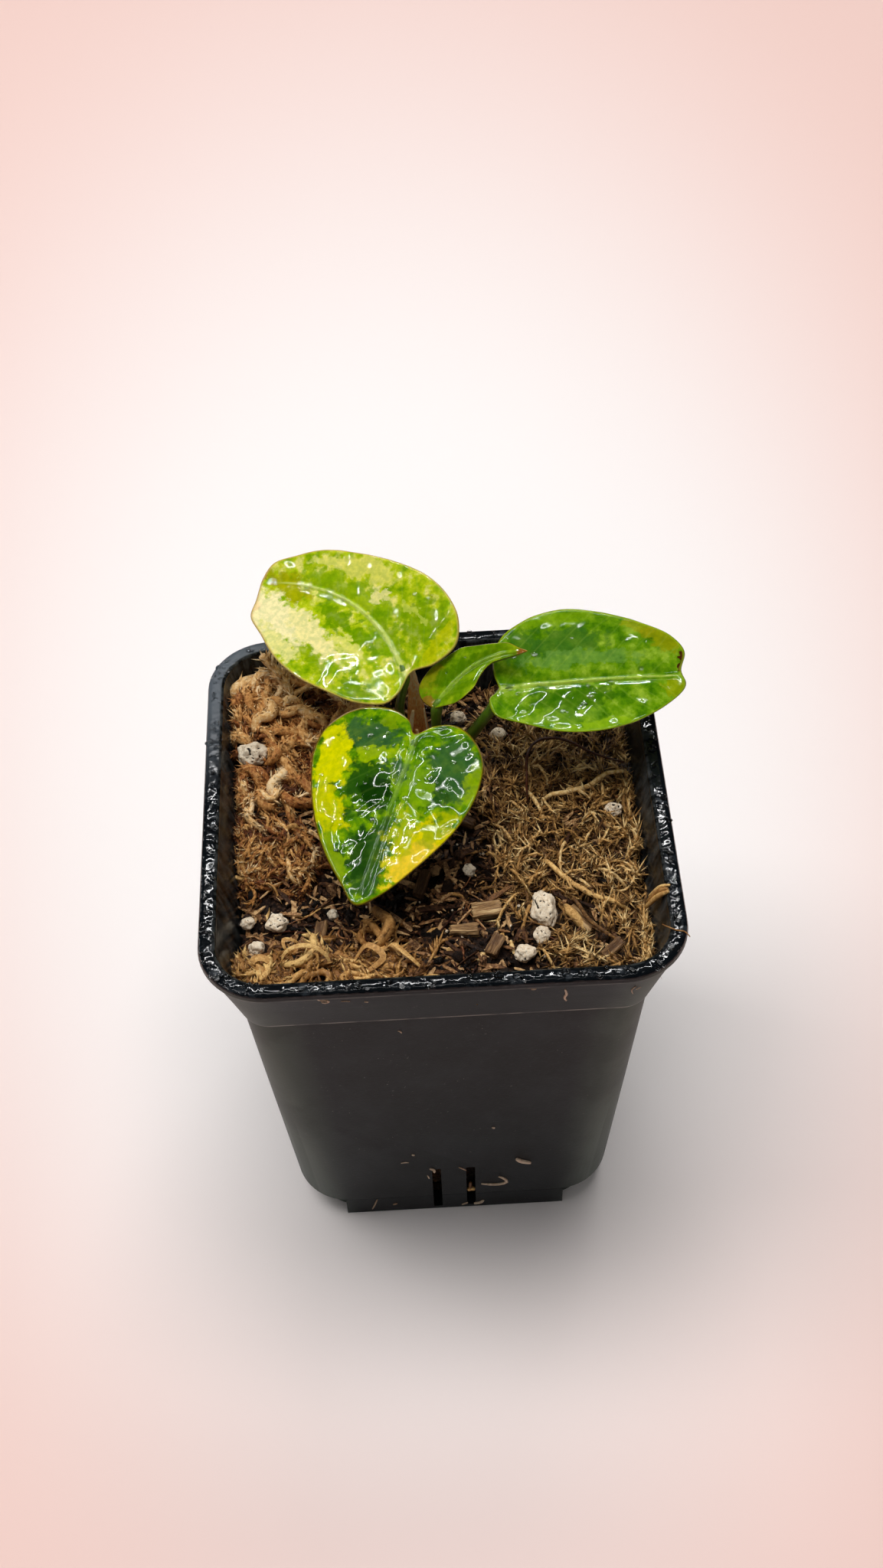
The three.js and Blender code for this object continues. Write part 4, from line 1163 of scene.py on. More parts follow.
looseFibres = [
    # points, radius, tint, height over the mix
    ([(-22.9, -14.1), (-21, -14.4), (-19.6, -14.1), (-18.6, -13.1), (-16.7, -11.7)], 0.14, 0.7, 0.7),
    ([(-25.8, -12), (-26.1, -14.8)], 0.4, 0.85, 0.7), ([(-24.7, -17.4), (-24.6, -21.9)], 0.42, 0.6, 0.7),
    ([(-32.6, -6.2), (-30.9, -7.4), (-29.5, -8), (-27.6, -7.6)], 0.34, 0.7, 1.2),
    ([(17.5, -10.9), (14.8, -13.9), (12.8, -17.1), (11.3, -21.3)], 0.3, 0.6, 1.0),
    ([(17.7, -15.5), (19.4, -17.9), (21.1, -20.3)], 0.75, 0.75, 0.9),
    ([(17.7, -8.4), (19.7, -11.7), (21.7, -13.7), (23.6, -15.4)], 0.26, 0.95, 1.7),
    ([(17.7, -12.5), (19.6, -15.4), (21.7, -19.6), (23.9, -21.8), (25.7, -23.2)], 0.3, 0.3, 1.5),
    ([(24.1, -10.2), (26.2, -9.0), (28.4, -10.2), (29.0, -12.6), (27.2, -14.6), (25.0, -13.8),
      (24.9, -11.8)], 0.2, 0.9, 1.6),
    ([(25.2, -11.0), (26.8, -10.2), (28.0, -11.6), (27.4, -13.4), (26.0, -13.2)], 0.15, 0.8, 2.0),
    ([(12.0, 8.5), (14.5, 5.2), (16.2, 1.0), (16.8, -3.0)], 0.32, 0.9, 1.4),
    ([(10.2, 5.8), (13, 2), (15.4, -2.2)], 0.26, 0.8, 1.2),
    ([(20.5, -3.2), (18.9, -6.0), (18.2, -9.5), (19.0, -12.2)], 0.24, 0.95, 1.6),
    ([(24.4, -1.6), (22.6, -4.6), (21.8, -8.6)], 0.2, 0.85, 1.5),
    ([(28.6, 3.6), (25.6, 1.2), (21.4, 0.4)], 0.2, 0.8, 1.2), ([(4.9, -24.9), (6.2, -23.2)], 0.5, 0.9, 0.6),
    ([(0.5, -24.2), (0.9, -22.2)], 0.45, 0.8, 0.6), ([(7.6, -20.9), (9.6, -19.9)], 0.5, 0.75, 0.6),
    ([(10.2, -23.4), (10, -21.2)], 0.4, 0.9, 0.7),
    ([(-3.6, -20.4), (-1.4, -18.6), (0.4, -18.2)], 0.3, 0.6, 0.6),
    ([(-1.2, -13.4), (1.8, -12.4), (4.2, -12.8)], 0.28, 0.55, 0.6),
    ([(6.0, -4.4), (8.8, -6.6), (10.4, -9.8)], 0.34, 0.75, 0.8),
    ([(9.5, -1.0), (11.4, -4.6), (12.0, -8.0)], 0.3, 0.7, 0.9),
    ([(2.8, 8.8), (4.6, 9.8), (6.8, 9.4)], 0.36, 0.7, 0.9),
    ([(-2.6, 9.2), (-0.2, 8.4), (1.8, 9.0)], 0.4, 0.55, 0.9),
    ([(3.4, 17.0), (5.6, 17.6), (7.6, 16.6), (9.2, 15.2)], 0.4, 0.75, 0.8),
    ([(5.0, 13.0), (6.6, 14.6), (8.8, 13.6)], 0.3, 0.85, 1.0),
    ([(-30.6, 2.8), (-28.8, 2.4), (-27.4, 2.0)], 0.6, 0.9, 1.0),
    ([(-24.5, -1.0), (-22.0, 0.6), (-19.6, 0.2)], 0.4, 0.65, 1.4),
]


def makeLooseFibres(material):
    strands = []
    for points, radius, tint, lift in looseFibres:
        peaks = np.sin(np.linspace(0.12, np.pi - 0.12, len(points)))
        strands.append(([onSurface(x, y, lift * peak) for (x, y), peak in zip(points, peaks)], radius, tint))
    piece = strandPiece(namedStrands(strands), 2)
    places = coordinates(piece)
    frayed = [roughness3d(places / mm, 0.7, seed) * 0.1 * mm for seed in (2, 12, 22)]
    setCoordinates(piece, places + np.column_stack(frayed))
    finishPiece(piece, "looseFibres", material)


# Golden folds and loops of moss along the front rim: points, half width of the ribbon, tint
goldenRibbons = [
    ([(-23.8, -24.9, 71.6), (-22.9, -24.0, 74.2), (-20.9, -23.6, 75.2), (-18.5, -24.0, 75.2),
      (-16.9, -24.8, 74), (-16.3, -25.8, 71.8)], 0.5, 0.9),
    ([(-20.5, -20.9, 70.6), (-21.7, -21.0, 73), (-23.1, -21.1, 73.6), (-23.1, -22.4, 73.6),
      (-22.1, -23.0, 72)], 0.4, 0.8),
    ([(-19.3, -23.6, 73.4), (-18.3, -24.6, 74.2), (-18.4, -26.3, 72.2)], 0.35, 0.7),
    ([(-28.2, -26.3, 71), (-27.9, -24.8, 73.2), (-26.6, -24.3, 73.8), (-25.2, -24.8, 73.2),
      (-24.8, -26.2, 71.6)], 0.9, 0.75),
    ([(-9.0, -23.7, 72), (-7.4, -23.3, 74), (-5.5, -25.1, 74), (-3.6, -26.7, 73),
      (-2.4, -27.3, 71.4)], 0.7, 0.8),
    ([(-13.4, -25.2, 72), (-11.0, -23.4, 74.2), (-8.7, -25.5, 74), (-11.1, -27.3, 73)], 0.8, 0.65),
]
ribbonLook = {"steps": 22, "thickness": 0.09, "narrower": 0.6, "tilt": (0.9, 1.9), "twist": 1.2}


def ribbonPiece(ribbons):
    # thin folded bands, drawn as flat curves and turned into meshes
    chance = random.Random(71)
    count, twist = ribbonLook["steps"], ribbonLook["twist"]
    strands = []
    for points, half, tint in ribbons:
        radii = ribbonLook["narrower"] * half * taper(count, 0.45, 0.7, 0, 1)
        tilts = chance.uniform(*ribbonLook["tilt"]) + chance.uniform(-twist, twist) * np.linspace(0, 1, count)
        strands.append((smoothPath(points, count), radii, tint, tilts))
    return strandPiece(strands, 1, ribbonLook["thickness"], 1.0)


# Perlite and bark chips

grains = {
    "places": [
        (-28.2, 13.6, 2.4, 2, 1.7), (27.2, 0.8, 1.5, 1.2, 1.2), (15.2, -16.6, 2, 3, 1.9),
        (14.6, -21.4, 1.2, 1.3, 1.1), (11.8, -24, 1.5, 1.5, 1.3), (4.6, 22.6, 1.3, 1.2, 1.2),
        (10.8, 18.6, 1.4, 1.1, 1), (-28.7, -15.6, 1.1, 1, 0.9), (-24.4, -16, 1.6, 1.5, 1.3),
        (-27.4, -20.2, 1.2, 1.1, 1), (-16.2, -14.4, 0.9, 0.8, 0.8), (4.6, -8.6, 1, 1, 0.9),
    ],
    "grey": (1, 11, 12),  # which grains are greyer than the rest
}


def makeGrains(material):
    for number, (x, y, *radii) in enumerate(grains["places"], 1):
        piece = add("ico_sphere", subdivisions=5 if radii[0] > 1.4 else 4, radius=1)
        points = coordinates(piece)
        seed = number * 5.7
        lumps = 0.34 * roughness3d(points, 0.85, seed) + 0.12 * roughness3d(points, 0.35, seed)
        pits = np.clip(roughness3d(points, 0.22, seed + 30) - 0.15, 0, 1)
        points = points * (0.97 + lumps - 0.24 * pits)[:, None]
        centre = np.array([x, y, float(groundHeight(x, y)) + 0.45 * radii[2] + ground["lift"]])
        setCoordinates(piece, (points * np.array(radii) + centre) * mm)
        setAttribute(piece, "grey", float(number in grains["grey"]))
        setAttribute(piece, "pits", pits)
        finishPiece(piece, f"perliteGrain{number}", material, (f"perlite_{number}",))


def grainMaterial():
    material = newMaterial("whitePerlite", Roughness=0.75, SpecularIORLevel=0.35)
    place = millimetres()
    grey = attribute("grey")
    fine = grain(place, 2.6, 4.0, 0.7)
    colour = mixed(fade(fine, 0.35, 0.7), (242, 228, 204), (216, 190, 156))
    colour = mixed(times(grey, 0.3), colour, (172, 162, 140))
    dark = greater(fade(attribute("pits"), 0.18, 0.36), fade(grain(place, 4.5, 2.0), 0.7, 0.75))
    dark = greater(dark, times(grey, fade(fine, 0.62, 0.7)))
    colour = mixed(dark, colour, (34, 27, 24))
    return paint(material, BaseColor=colour, Normal=bump(grain(place, 5.0, 4.0, 0.7), 0.12))


chips = {
    # x, y, length, width, thickness, turn
    "places": [
        (6.8, -15.6, 4.4, 2.4, 1.5, 5), (3.2, -19.6, 4.2, 1.6, 1.3, 4), (7.6, -22.6, 3.6, 2, 1.4, 62),
        (20.6, -18.4, 5, 1.8, 1.2, -48), (-2.6, -10.4, 4.4, 1.5, 1.2, 70), (-18, -17.6, 3.6, 1.7, 1.2, 84),
        (24.6, -24.4, 4, 1.8, 1.2, 40), (4, 1.2, 4.2, 1.6, 1.2, -30),
    ],
    "tints": (0.95, 0.85, 0.6, 0.9, 0.45, 0.6, 0.6, 0.5),
    "tones": [(0.0, 38, 24, 16), (0.35, 92, 64, 40), (0.7, 158, 122, 80), (1.0, 214, 184, 134)],
}


def makeChips(material):
    for number, (x, y, length, wide, thick, turn) in enumerate(chips["places"], 1):
        piece = add("cube", size=1)
        piece.scale = (length, wide, thick)
        applyMoves()
        openMesh()
        bpy.ops.mesh.bevel(offset=0.12 * thick, segments=1, affect="EDGES")
        bpy.ops.mesh.subdivide(number_cuts=7)
        closeMesh()
        points = coordinates(piece)
        seed = number * 3.1
        # split along the grain, with ragged ends
        along = points * np.array([0.12, 1.0, 1.0])
        points[:, 1] += 0.2 * roughness3d(along, 0.55, seed) + 0.12 * roughness3d(points, 1.6, seed)
        points[:, 2] += 0.28 * roughness3d(along, 0.45, seed + 9) + 0.2 * roughness3d(points, 2.0, seed + 4)
        ends = smoothstep(0.36, 0.5, np.abs(points[:, 0]) / length)
        points[:, 0] += ends * 0.35 * roughness3d(points * np.array([0.2, 1, 1]), 0.35, seed + 2)
        lean = Euler((0.12 * math.sin(seed), 0.1 * math.cos(seed), math.radians(turn)))
        centre = np.array([x, y, float(groundHeight(x, y)) + 0.35 * thick + ground["lift"] / 2 + 0.15])
        setCoordinates(piece, (points @ np.array(lean.to_matrix()).T + centre) * mm)
        setAttribute(piece, "tint", chips["tints"][number - 1])
        setAttribute(piece, "alongGrain", points)
        finishPiece(piece, f"barkChip{number}", material, (f"bark_chip_{number}",), angle=45)


def chipMaterial():
    material = newMaterial("splitBark", SpecularIORLevel=0.4)
    place = attribute("alongGrain", "Vector")
    fibre = grain(stretched(place, (0.25, 2.6, 2.6)), 1.0, 4.0, 0.7)
    picked = maths("MULTIPLY", attribute("tint"), fade(fibre, 0.3, 0.7, 0.35, 1.05), clamp=True)
    rough = fade(grain(place, 0.6, 2.0), 0.4, 0.6, 0.75, 0.4)
    return paint(material, BaseColor=ramp(picked, chips["tones"]), Roughness=rough, Normal=bump(fibre, 0.3))


# Single strands that lie over the moss

singles = {
    "wiryRoot": {
        "node": "wiry_root", "slot": "dry_root", "radius": 0.24, "tint": 0.3,
        "path": [(14.2, 2.6, 71.2), (14.3, 4.4, 73.6), (14.5, 8.4, 75), (15.4, 12.0, 75.5),
                 (17.6, 13.4, 75.8), (21.4, 12.6, 75.8), (24.9, 10.4, 75.2), (29.8, 8.8, 74.4)],
    },
    "strawStrand": {
        "node": "straw_strand", "slot": "dry_straw", "radius": 0.42, "tint": 0.92,
        "path": [(15.8, 4.2, 70.6), (18, 3.8, 73.4), (20.8, 3.8, 74), (24.3, 4.9, 74.1), (26.8, 7, 74),
                 (29.5, 7.4, 73.8)],
    },
    "orangeStraw": {
        "node": "orange_straw", "slot": "dry_straw", "radius": 0.42, "tint": 0.85,
        "path": [(15.2, -6.6, 70.5), (16.4, -8.6, 72.5), (18.6, -12, 73.1), (21.8, -15.2, 73.1),
                 (25.6, -16.8, 72.7), (28, -17.4, 71)],
    },
    "mossFrond": {
        "node": "moss_frond", "slot": "moss_orange", "radius": 0.95, "tint": 0.85, "leaflets": 60,
        "path": [(-21.6, 25, 74.2), (-23, 27, 77), (-24.8, 28.6, 79.5), (-26.2, 29.2, 81.5)],
    },
}


def makeSingle(name, material):
    look = singles[name]
    count = 34
    points = smoothPath(look["path"], count)
    wobble = np.column_stack([roughness3d(points, 1.7, k * 9.0) for k in range(3)]) * 0.12
    radii = look["radius"] * taper(count, 0.5, 1, 0.1, 0.8) * (1 + 0.15 * roughness3d(points, 0.8, 4))
    strands = [(points + wobble, radii, look["tint"])]
    piece = strandPiece(strands, 2)
    if "leaflets" in look:
        shapes = smallOnes("leaflet", 11, 12)
        leaflets = leafletsOn(strands, random.Random(81), look["leaflets"], (1.3, 0.4, 0.1), shapes)
        piece = joined(piece, leaflets)
    finishPiece(piece, name, material, (look["node"],))


# Plant

leaves = {
    "front": {
        "at": (-2.4, 6, 86), "heading": 248.8, "pitch": -12, "roll": 0, "length": 28.3, "fold": 0,
        "droop": 0.05, "arch": 0.006, "bow": 0, "middle": 11,
        "edge": [
            (-0.6, -0.4), (-2.7, -2), (-4, -5.2), (-3.6, -9), (-1.9, -12), (1.6, -14.4), (5.6, -14.7),
            (10, -13.5), (14.2, -11.8), (18.7, -9.3), (22.6, -6.3), (25.7, -3.2), (28, -0.9), (28.2, 0.2),
            (25.7, 3), (21.9, 5.7), (17.9, 8), (13.4, 10.2), (8.7, 11.4), (4.6, 11.6), (0.8, 10.8),
            (-2.1, 8.5), (-3.6, 5.3), (-2.6, 2),
        ],
        "spacing": 3.4, "slope": 0.75, "sink": 0.02, "puff": 0.36, "wave": 0.25, "seed": 1,
    },
    "left": {
        "at": (-3.6, 17.5, 87.6), "heading": 138.7, "pitch": 6, "roll": -22, "length": 30.2, "fold": 0.18,
        "droop": 0.05, "arch": 0, "bow": -5, "middle": 13,
        "edge": [
            (-0.6, -0.8), (-2.9, -3.9), (-4.1, -8), (-1.9, -11.7), (2, -13.9), (6.7, -14.8), (11.8, -14.3),
            (18, -12.6), (24, -10), (27.5, -7), (30.3, -3.7), (30.3, -0.8), (28.6, 2.8), (27.2, 5.6),
            (23.3, 7.4), (18.3, 9.4), (13.3, 10), (7.7, 9.3), (2.7, 8), (-0.7, 5.5), (-1.1, 3),
        ],
        "spacing": 3.4, "slope": 0.7, "sink": 0.01, "puff": 0.2, "wave": 0.3, "seed": 21,
    },
    "right": {
        "at": (11.2, 13.4, 88), "heading": -2.5, "pitch": 7, "roll": 18, "length": 27.7, "fold": 0.12,
        "droop": 0.08, "arch": 0, "bow": 0, "middle": 12,
        "edge": [
            (-0.7, -0.3), (-2.2, -1.6), (-1.5, -4.5), (2.8, -6.6), (8.8, -8.6), (14.3, -8.8), (20.1, -7.4),
            (25.4, -4.2), (27.5, -1.6), (27, 0.8), (27.8, 3.8), (26, 6.5), (21.5, 8.9), (15.5, 10.9),
            (9.5, 11.8), (4.6, 10.8), (0.6, 8.5), (-1.1, 5.5), (-1.3, 2.4),
        ],
        "spacing": 3.2, "slope": 0.9, "sink": 0.02, "puff": 0.22, "wave": 0.25, "seed": 41,
    },
    "young": {
        "at": (0.2, 13, 84.5), "heading": 5.7, "pitch": 34, "roll": 10, "length": 17.8, "fold": 0.3,
        "droop": 0, "arch": 0, "bow": 3, "middle": 7,
        "edge": [
            (0.2, 0.1), (2.1, -0.8), (4.2, -1.7), (6.3, -1.6), (8, -1), (9.2, 0.3), (10.8, 1.4),
            (12.8, 1.6), (15.6, 0.9), (17.8, 0.1), (16.7, 1.4), (15.4, 3.1), (13.4, 4.3), (10.3, 5.7),
            (7.8, 6.7), (4.7, 6.5), (2.4, 6.2), (0.1, 5), (-1, 3.9), (-1.1, 2.2),
        ],
        "spacing": 2.2, "slope": 1.2, "sink": 0.01, "puff": 0.12, "wave": 0.12, "seed": 61,
    },
}
leafShape = {"around": 216, "rings": 104, "thickness": 0.5, "foldRound": 2.0}


def leafFrame(leaf):
    heading, pitch, roll = (math.radians(leaf[k]) for k in ("heading", "pitch", "roll"))
    level = np.array([-math.sin(heading), math.cos(heading), 0])
    flat = math.cos(pitch)
    along = np.array([math.cos(heading) * flat, math.sin(heading) * flat, math.sin(pitch)])
    across = level * math.cos(roll) + np.cross(along, level) * math.sin(roll)
    return along, across, np.cross(along, across)


def midribAt(leaf, u):
    share = np.clip(u / leaf["length"], 0, 1)
    return leaf["bow"] * 4 * share * (1 - share)


def bladePoint(leaf, u, v, offset):
    # a place on the blade: along the midrib, across it, and above its upper face
    u, v, offset = (np.asarray(k, float) for k in (u, v, offset))
    share = np.maximum(u / leaf["length"], 0)
    away = v - midribAt(leaf, u)
    crease = leaf["fold"] * (np.hypot(away, leafShape["foldRound"]) - leafShape["foldRound"])
    height = crease - leaf["droop"] * leaf["length"] * share ** 2 - leaf["arch"] * v ** 2 + offset
    along, across, up = leafFrame(leaf)
    return np.array(leaf["at"]) + u[..., None] * along + v[..., None] * across + height[..., None] * up


def veinPhase(leaf, u, away):
    return (u - leaf["slope"] * np.abs(away) - 0.012 * away ** 2) / leaf["spacing"]


def makeLeaf(name, material):
    leaf = leaves[name]
    around, rings = leafShape["around"], leafShape["rings"]
    piece = add("uv_sphere", segments=around, ring_count=rings, radius=1)
    ball = coordinates(piece)
    edge = smoothPath(leaf["edge"], around, closed=True)
    if np.sum(edge[:, 0] * np.roll(edge[:, 1], -1) - np.roll(edge[:, 0], -1) * edge[:, 1]) < 0:
        edge = edge[::-1]
    turn = np.round(np.arctan2(ball[:, 1], ball[:, 0]) / (2 * np.pi) * around).astype(int) % around
    down = np.arccos(np.clip(ball[:, 2], -1, 1)) / np.pi  # 0 at the top pole, 1 at the bottom
    share = 1 - np.abs(2 * down - 1)
    middle = np.array([leaf["middle"], leaf["bow"]])
    flat = middle + share[:, None] * (edge[turn] - middle)
    u, v = flat[:, 0], flat[:, 1]
    away = v - midribAt(leaf, u)
    # relief: side veins sunk between puffed fields, a fine ridge for the midrib
    spots = np.column_stack([u, v, u * 0])
    phase = veinPhase(leaf, u, away) + 0.22 * roughness3d(spots, 5.0, 77.0)
    toVein = np.abs(phase - np.round(phase)) * leaf["spacing"]
    inner = smoothstep(1.0, 0.8, share)
    relief = leaf["sink"] * np.exp(-((toVein / 0.55) ** 2)) * smoothstep(0.3, 2.5, np.abs(away))
    relief += leaf["puff"] * (0.5 + 0.5 * roughness3d(spots, 3.4, leaf["seed"]))
    relief += 0.3 * np.exp(-((away / 0.9) ** 2)) - 0.28 * np.exp(-((away / 0.28) ** 2))
    relief = 0.08 + relief * inner
    outer = smoothstep(0.6, 1.0, share)
    wave = leaf["wave"] * outer * roughness3d(np.column_stack([edge[turn], u * 0]), 5.0, leaf["seed"] + 7)
    half = leafShape["thickness"] / 2
    swell = half * np.sqrt(np.clip(1 - share ** 22, 0, 1))
    swell *= 0.55 + 0.45 * smoothstep(1.0, 0.7, share)
    side = np.where(down <= 0.5, 1.0, -1.0)
    offset = -half + side * swell - relief - np.abs(wave)
    setCoordinates(piece, bladePoint(leaf, u, v, offset) * mm)
    setAttribute(piece, "leafPlace", np.column_stack([u, v, u * 0]))
    setAttribute(piece, "leafVein", np.column_stack([phase, away, np.clip(u / leaf["length"], 0, 1)]))
    setAttribute(piece, "leafShare", share)
    setAttribute(piece, "underside", side < 0)
    finishPiece(piece, "leaf" + name.capitalize(), material, ("blade_" + name,))


leafLooks = {
    # ground: a place on the noise and its colour; patches: colour, centre along and across the blade,
    # half length and half width, turn in degrees, strength
    "front": {
        "ground": [(0.3, 22, 60, 6), (0.41, 52, 98, 8), (0.51, 88, 136, 4), (0.63, 140, 172, 4)],
        "ragged": (2.0, 1.1), "breakup": 1.9, "vein": (150, 185, 70), "veinStrength": 0.5,
        "sideStrength": 0.05, "ribFade": (0.3, 0.55), "margin": (140, 112, 20), "under": (120, 150, 60),
        "film": (0.3, 0.05),
        "patches": [
            # the grey-blue patches (52, 92, 46), (50, 88, 48) and (58, 92, 60) are a painted sheen on the
            # dark green
            ((52, 92, 46), 4, 7, 5.5, 4, 0, 0.85), ((50, 88, 48), 1.5, -7, 3.2, 4.6, 0, 0.85),
            ((36, 78, 12), 9.5, -4, 4.6, 3.4, 20, 0.95), ((14, 50, 4), 10.2, -2.8, 2.4, 2.0, 0, 0.95),
            ((44, 82, 30), 20.6, -0.6, 6.5, 3.2, 0, 0.85), ((26, 66, 8), 20, -2.4, 4.4, 1.6, 0, 0.8),
            ((28, 68, 12), 7.6, 4.6, 2.0, 3.2, 0, 0.7), ((58, 92, 60), 6.5, 0.4, 3.6, 1.4, 80, 0.6),
            ((204, 202, 0), 6.2, -11.2, 5.6, 2.6, 12, 1.0), ((196, 194, 0), 14.4, -9.4, 4.4, 2.4, 25, 0.95),
            ((212, 200, 0), 17.4, 6.6, 6.8, 3.6, -26, 1.0),
            ((234, 200, 44), 19.6, 6.0, 4.6, 1.8, -28, 0.95),
            ((168, 180, 2), 14.2, 3.0, 3.2, 1.9, 10, 0.85), ((118, 158, 8), 8.2, 2.8, 4.4, 2.2, 15, 0.8),
            ((128, 158, 6), -2.5, -4.1, 1.4, 1.8, 0, 0.7), ((150, 176, 4), 4.0, -4.6, 1.5, 3.6, 10, 0.85),
            ((140, 166, 6), 4.7, 10.6, 2.8, 1.0, 0, 0.7), ((132, 158, 6), 22.3, -5.6, 5.5, 1.0, 30, 0.8),
            ((128, 160, 6), 12.8, 8.2, 4.0, 1.6, -20, 0.6), ((176, 180, 4), 17.2, 2.6, 2.8, 1.4, 60, 0.7),
        ],
    },
    "left": {
        "ground": [(0.3, 100, 144, 2), (0.42, 146, 176, 6), (0.53, 186, 198, 28), (0.64, 224, 218, 116)],
        "ragged": (2.2, 1.3), "breakup": 1.7, "vein": (206, 216, 110), "veinStrength": 0.85,
        "sideStrength": 0.05, "ribFade": (0.75, 1.0), "margin": (206, 176, 90), "under": (190, 200, 110),
        "film": (0.3, 0.026),
        "patches": [
            ((130, 165, 6), 15, -6.2, 10, 2.2, 5, 0.8), ((108, 152, 6), 6.5, -3.2, 5.6, 2.0, -20, 0.7),
            ((168, 190, 20), 14.5, -5.4, 3.6, 1.0, 10, 0.7), ((110, 148, 2), 2, -8.2, 4.4, 3.4, 0, 0.75),
            ((104, 146, 2), 9.6, -0.8, 3.6, 1.3, 0, 0.9), ((100, 142, 2), 15.7, -1.9, 3.2, 1.4, 0, 0.85),
            ((96, 140, 2), 4.5, 6.6, 3.2, 1.9, 0, 0.8), ((122, 156, 4), 13, 6, 4.6, 1.6, 10, 0.75),
            ((160, 162, 6), 25.6, -2.0, 4.0, 2.2, 0, 0.9), ((242, 230, 176), 24.2, 4.0, 7.6, 3.8, 0, 1.0),
            ((234, 224, 156), 16.4, 2.8, 6.4, 2.1, -8, 1.0),
            ((216, 214, 110), 10.2, 1.6, 4.0, 1.0, -8, 0.85),
            ((226, 220, 140), 20.3, 7.2, 4.6, 1.5, -10, 0.9),
            ((212, 210, 96), 16.2, -10.8, 5.2, 1.7, 5, 0.9),
            ((214, 212, 104), 22.4, -9.2, 3.4, 0.9, 20, 0.8),
            ((224, 218, 140), 11.2, -8.2, 1.9, 1.0, 60, 0.95),
            ((196, 206, 80), 5.2, -8.9, 2.6, 0.7, 0, 0.7), ((196, 196, 8), -1.8, -7, 1.2, 4.5, 0, 0.6),
            ((240, 208, 160), 28.6, 4.6, 1.4, 2.2, 0, 0.8), ((120, 66, 30), 30.2, -1.6, 0.5, 1.2, 0, 0.8),
        ],
    },
    "right": {
        "ground": [(0.3, 50, 100, 4), (0.42, 80, 128, 8), (0.52, 106, 148, 14), (0.64, 142, 174, 46)],
        "ragged": (1.6, 0.9), "breakup": 1.9, "vein": (176, 200, 76), "veinStrength": 0.75,
        "sideStrength": 0.09, "ribFade": (0.9, 1.0), "margin": (150, 172, 30), "under": (140, 170, 80),
        "film": (0.3, 0.03),
        "patches": [
            ((60, 108, 30), 9.9, 6.3, 6, 2.2, 0, 0.75), ((48, 98, 6), 10.5, -3.0, 7, 2.0, 0, 0.75),
            ((54, 104, 26), 3.4, 6.2, 3, 3, 0, 0.7), ((118, 158, 10), 8, 10.6, 6, 1.0, 0, 0.7),
            ((132, 170, 20), 13, -8.0, 10, 0.8, 5, 0.85), ((138, 144, 6), 24.8, 6.2, 3.2, 1.7, -30, 0.85),
            ((140, 152, 4), 26, -2.2, 1.8, 1.8, 0, 0.8), ((70, 34, 14), 27.5, 2.0, 0.6, 1.9, 0, 1.0),
            # the paler bluish band (104, 148, 62) along the upper half is a faint painted sheen
            ((104, 148, 62), 12, 3.6, 9, 1.3, 0, 0.6), ((110, 150, 40), 9.5, -5.4, 5.0, 1.3, 0, 0.5),
            ((150, 150, 10), 22, 8.4, 3.6, 0.9, -20, 0.6),
        ],
    },
    "young": {
        "ground": [(0.3, 76, 120, 2), (0.5, 110, 148, 8), (0.67, 144, 170, 20)], "ragged": (1.2, 0.6),
        "breakup": 1.6, "vein": (160, 190, 70), "veinStrength": 0.6, "sideStrength": 0.05,
        "ribFade": (0.6, 0.8), "margin": (150, 130, 30), "under": (130, 160, 50), "film": (0.4, 0.04),
        "patches": [
            ((138, 138, 16), 1.6, 4.6, 2.6, 1.8, 0, 0.8), ((74, 118, 2), 5.4, 3.6, 4, 1.3, 0, 0.85),
            ((86, 126, 2), 5.6, 0.4, 3, 0.8, 0, 0.7), ((140, 76, 30), 17.6, 0.6, 1.8, 1.2, 0, 0.95),
            ((150, 90, 40), -0.3, 1.6, 0.9, 1.2, 0, 0.7), ((80, 120, 2), 11.5, 3.4, 3.0, 0.8, 0, 0.7),
        ],
    },
}


def leafMaterial(name):
    look = leafLooks[name]
    material = newMaterial(name + "LeafSkin", SpecularIORLevel=0.5, SubsurfaceWeight=0.1,
                           SubsurfaceRadius=(0.6, 1.0, 0.1), SubsurfaceScale=0.0006)
    place, vein = attribute("leafPlace", "Vector"), attribute("leafVein", "Vector")
    share, under = attribute("leafShare"), attribute("underside")
    coarse, fine = look["ragged"]
    ragged = effect("raggedPlace", Place=place, Coarse=coarse, Fine=fine)
    tatter = times(minus(grain(place, 0.75, 4.0, 0.55), 0.5), look["breakup"])
    colour = ramp(grain(place, 0.42, 4.0, 0.58), look["ground"])
    for patchTone, u, v, long, wide, turn, strength in look["patches"]:
        mask = effect("colourPatch", Place=ragged, Centre=(u, v, 0), Size=(long, wide, 1), Breakup=tatter,
                      Turn=math.radians(-turn), Softness=0.22)
        colour = mixed(times(mask, strength), colour, patchTone)
    # cell-sized mottling, darker and lighter
    darker = mixed(1.0, colour, (0.8, 0.87, 0.76, 1), "MULTIPLY")
    lighter = mixed(1.0, colour, (1.2, 1.14, 1.08, 1), "MULTIPLY")
    colour = mixed(fade(grain(place, 1.1, 4.0, 0.6), 0.36, 0.66, 0.1, 0.8), darker, lighter)
    # the veins, the margin and the underside
    midrib, side = effect("veins", Vein=vein, Spacing=leaves[name]["spacing"], Width=0.3).node.outputs
    colour = mixed(times(side, look["sideStrength"]), colour, look["vein"])
    rib = times(midrib, fade(apart(vein)["Z"], *look["ribFade"], 1.0, 0.1))
    rib = times(rib, fade(grain(place, 0.9, 3.0), 0.3, 0.56, 0.3, 1.0))
    colour = mixed(times(rib, look["veinStrength"]), colour, look["vein"])
    colour = mixed(fade(share, 0.968, 0.995, 0.0, 0.85), colour, look["margin"])
    colour = mixed(times(under, 0.75), colour, look["under"])
    # the film of water lies on the upper side alone
    ripple, depth = look["film"]
    film = effect("waterFilm", Place=place, Ripple=ripple, Bead=0.75, Beads=0.4)
    normal = bump(times(film, minus(1.0, under)), depth)
    return paint(material, BaseColor=colour, Normal=normal, Roughness=fade(under, 0, 1, 0.05, 0.5))


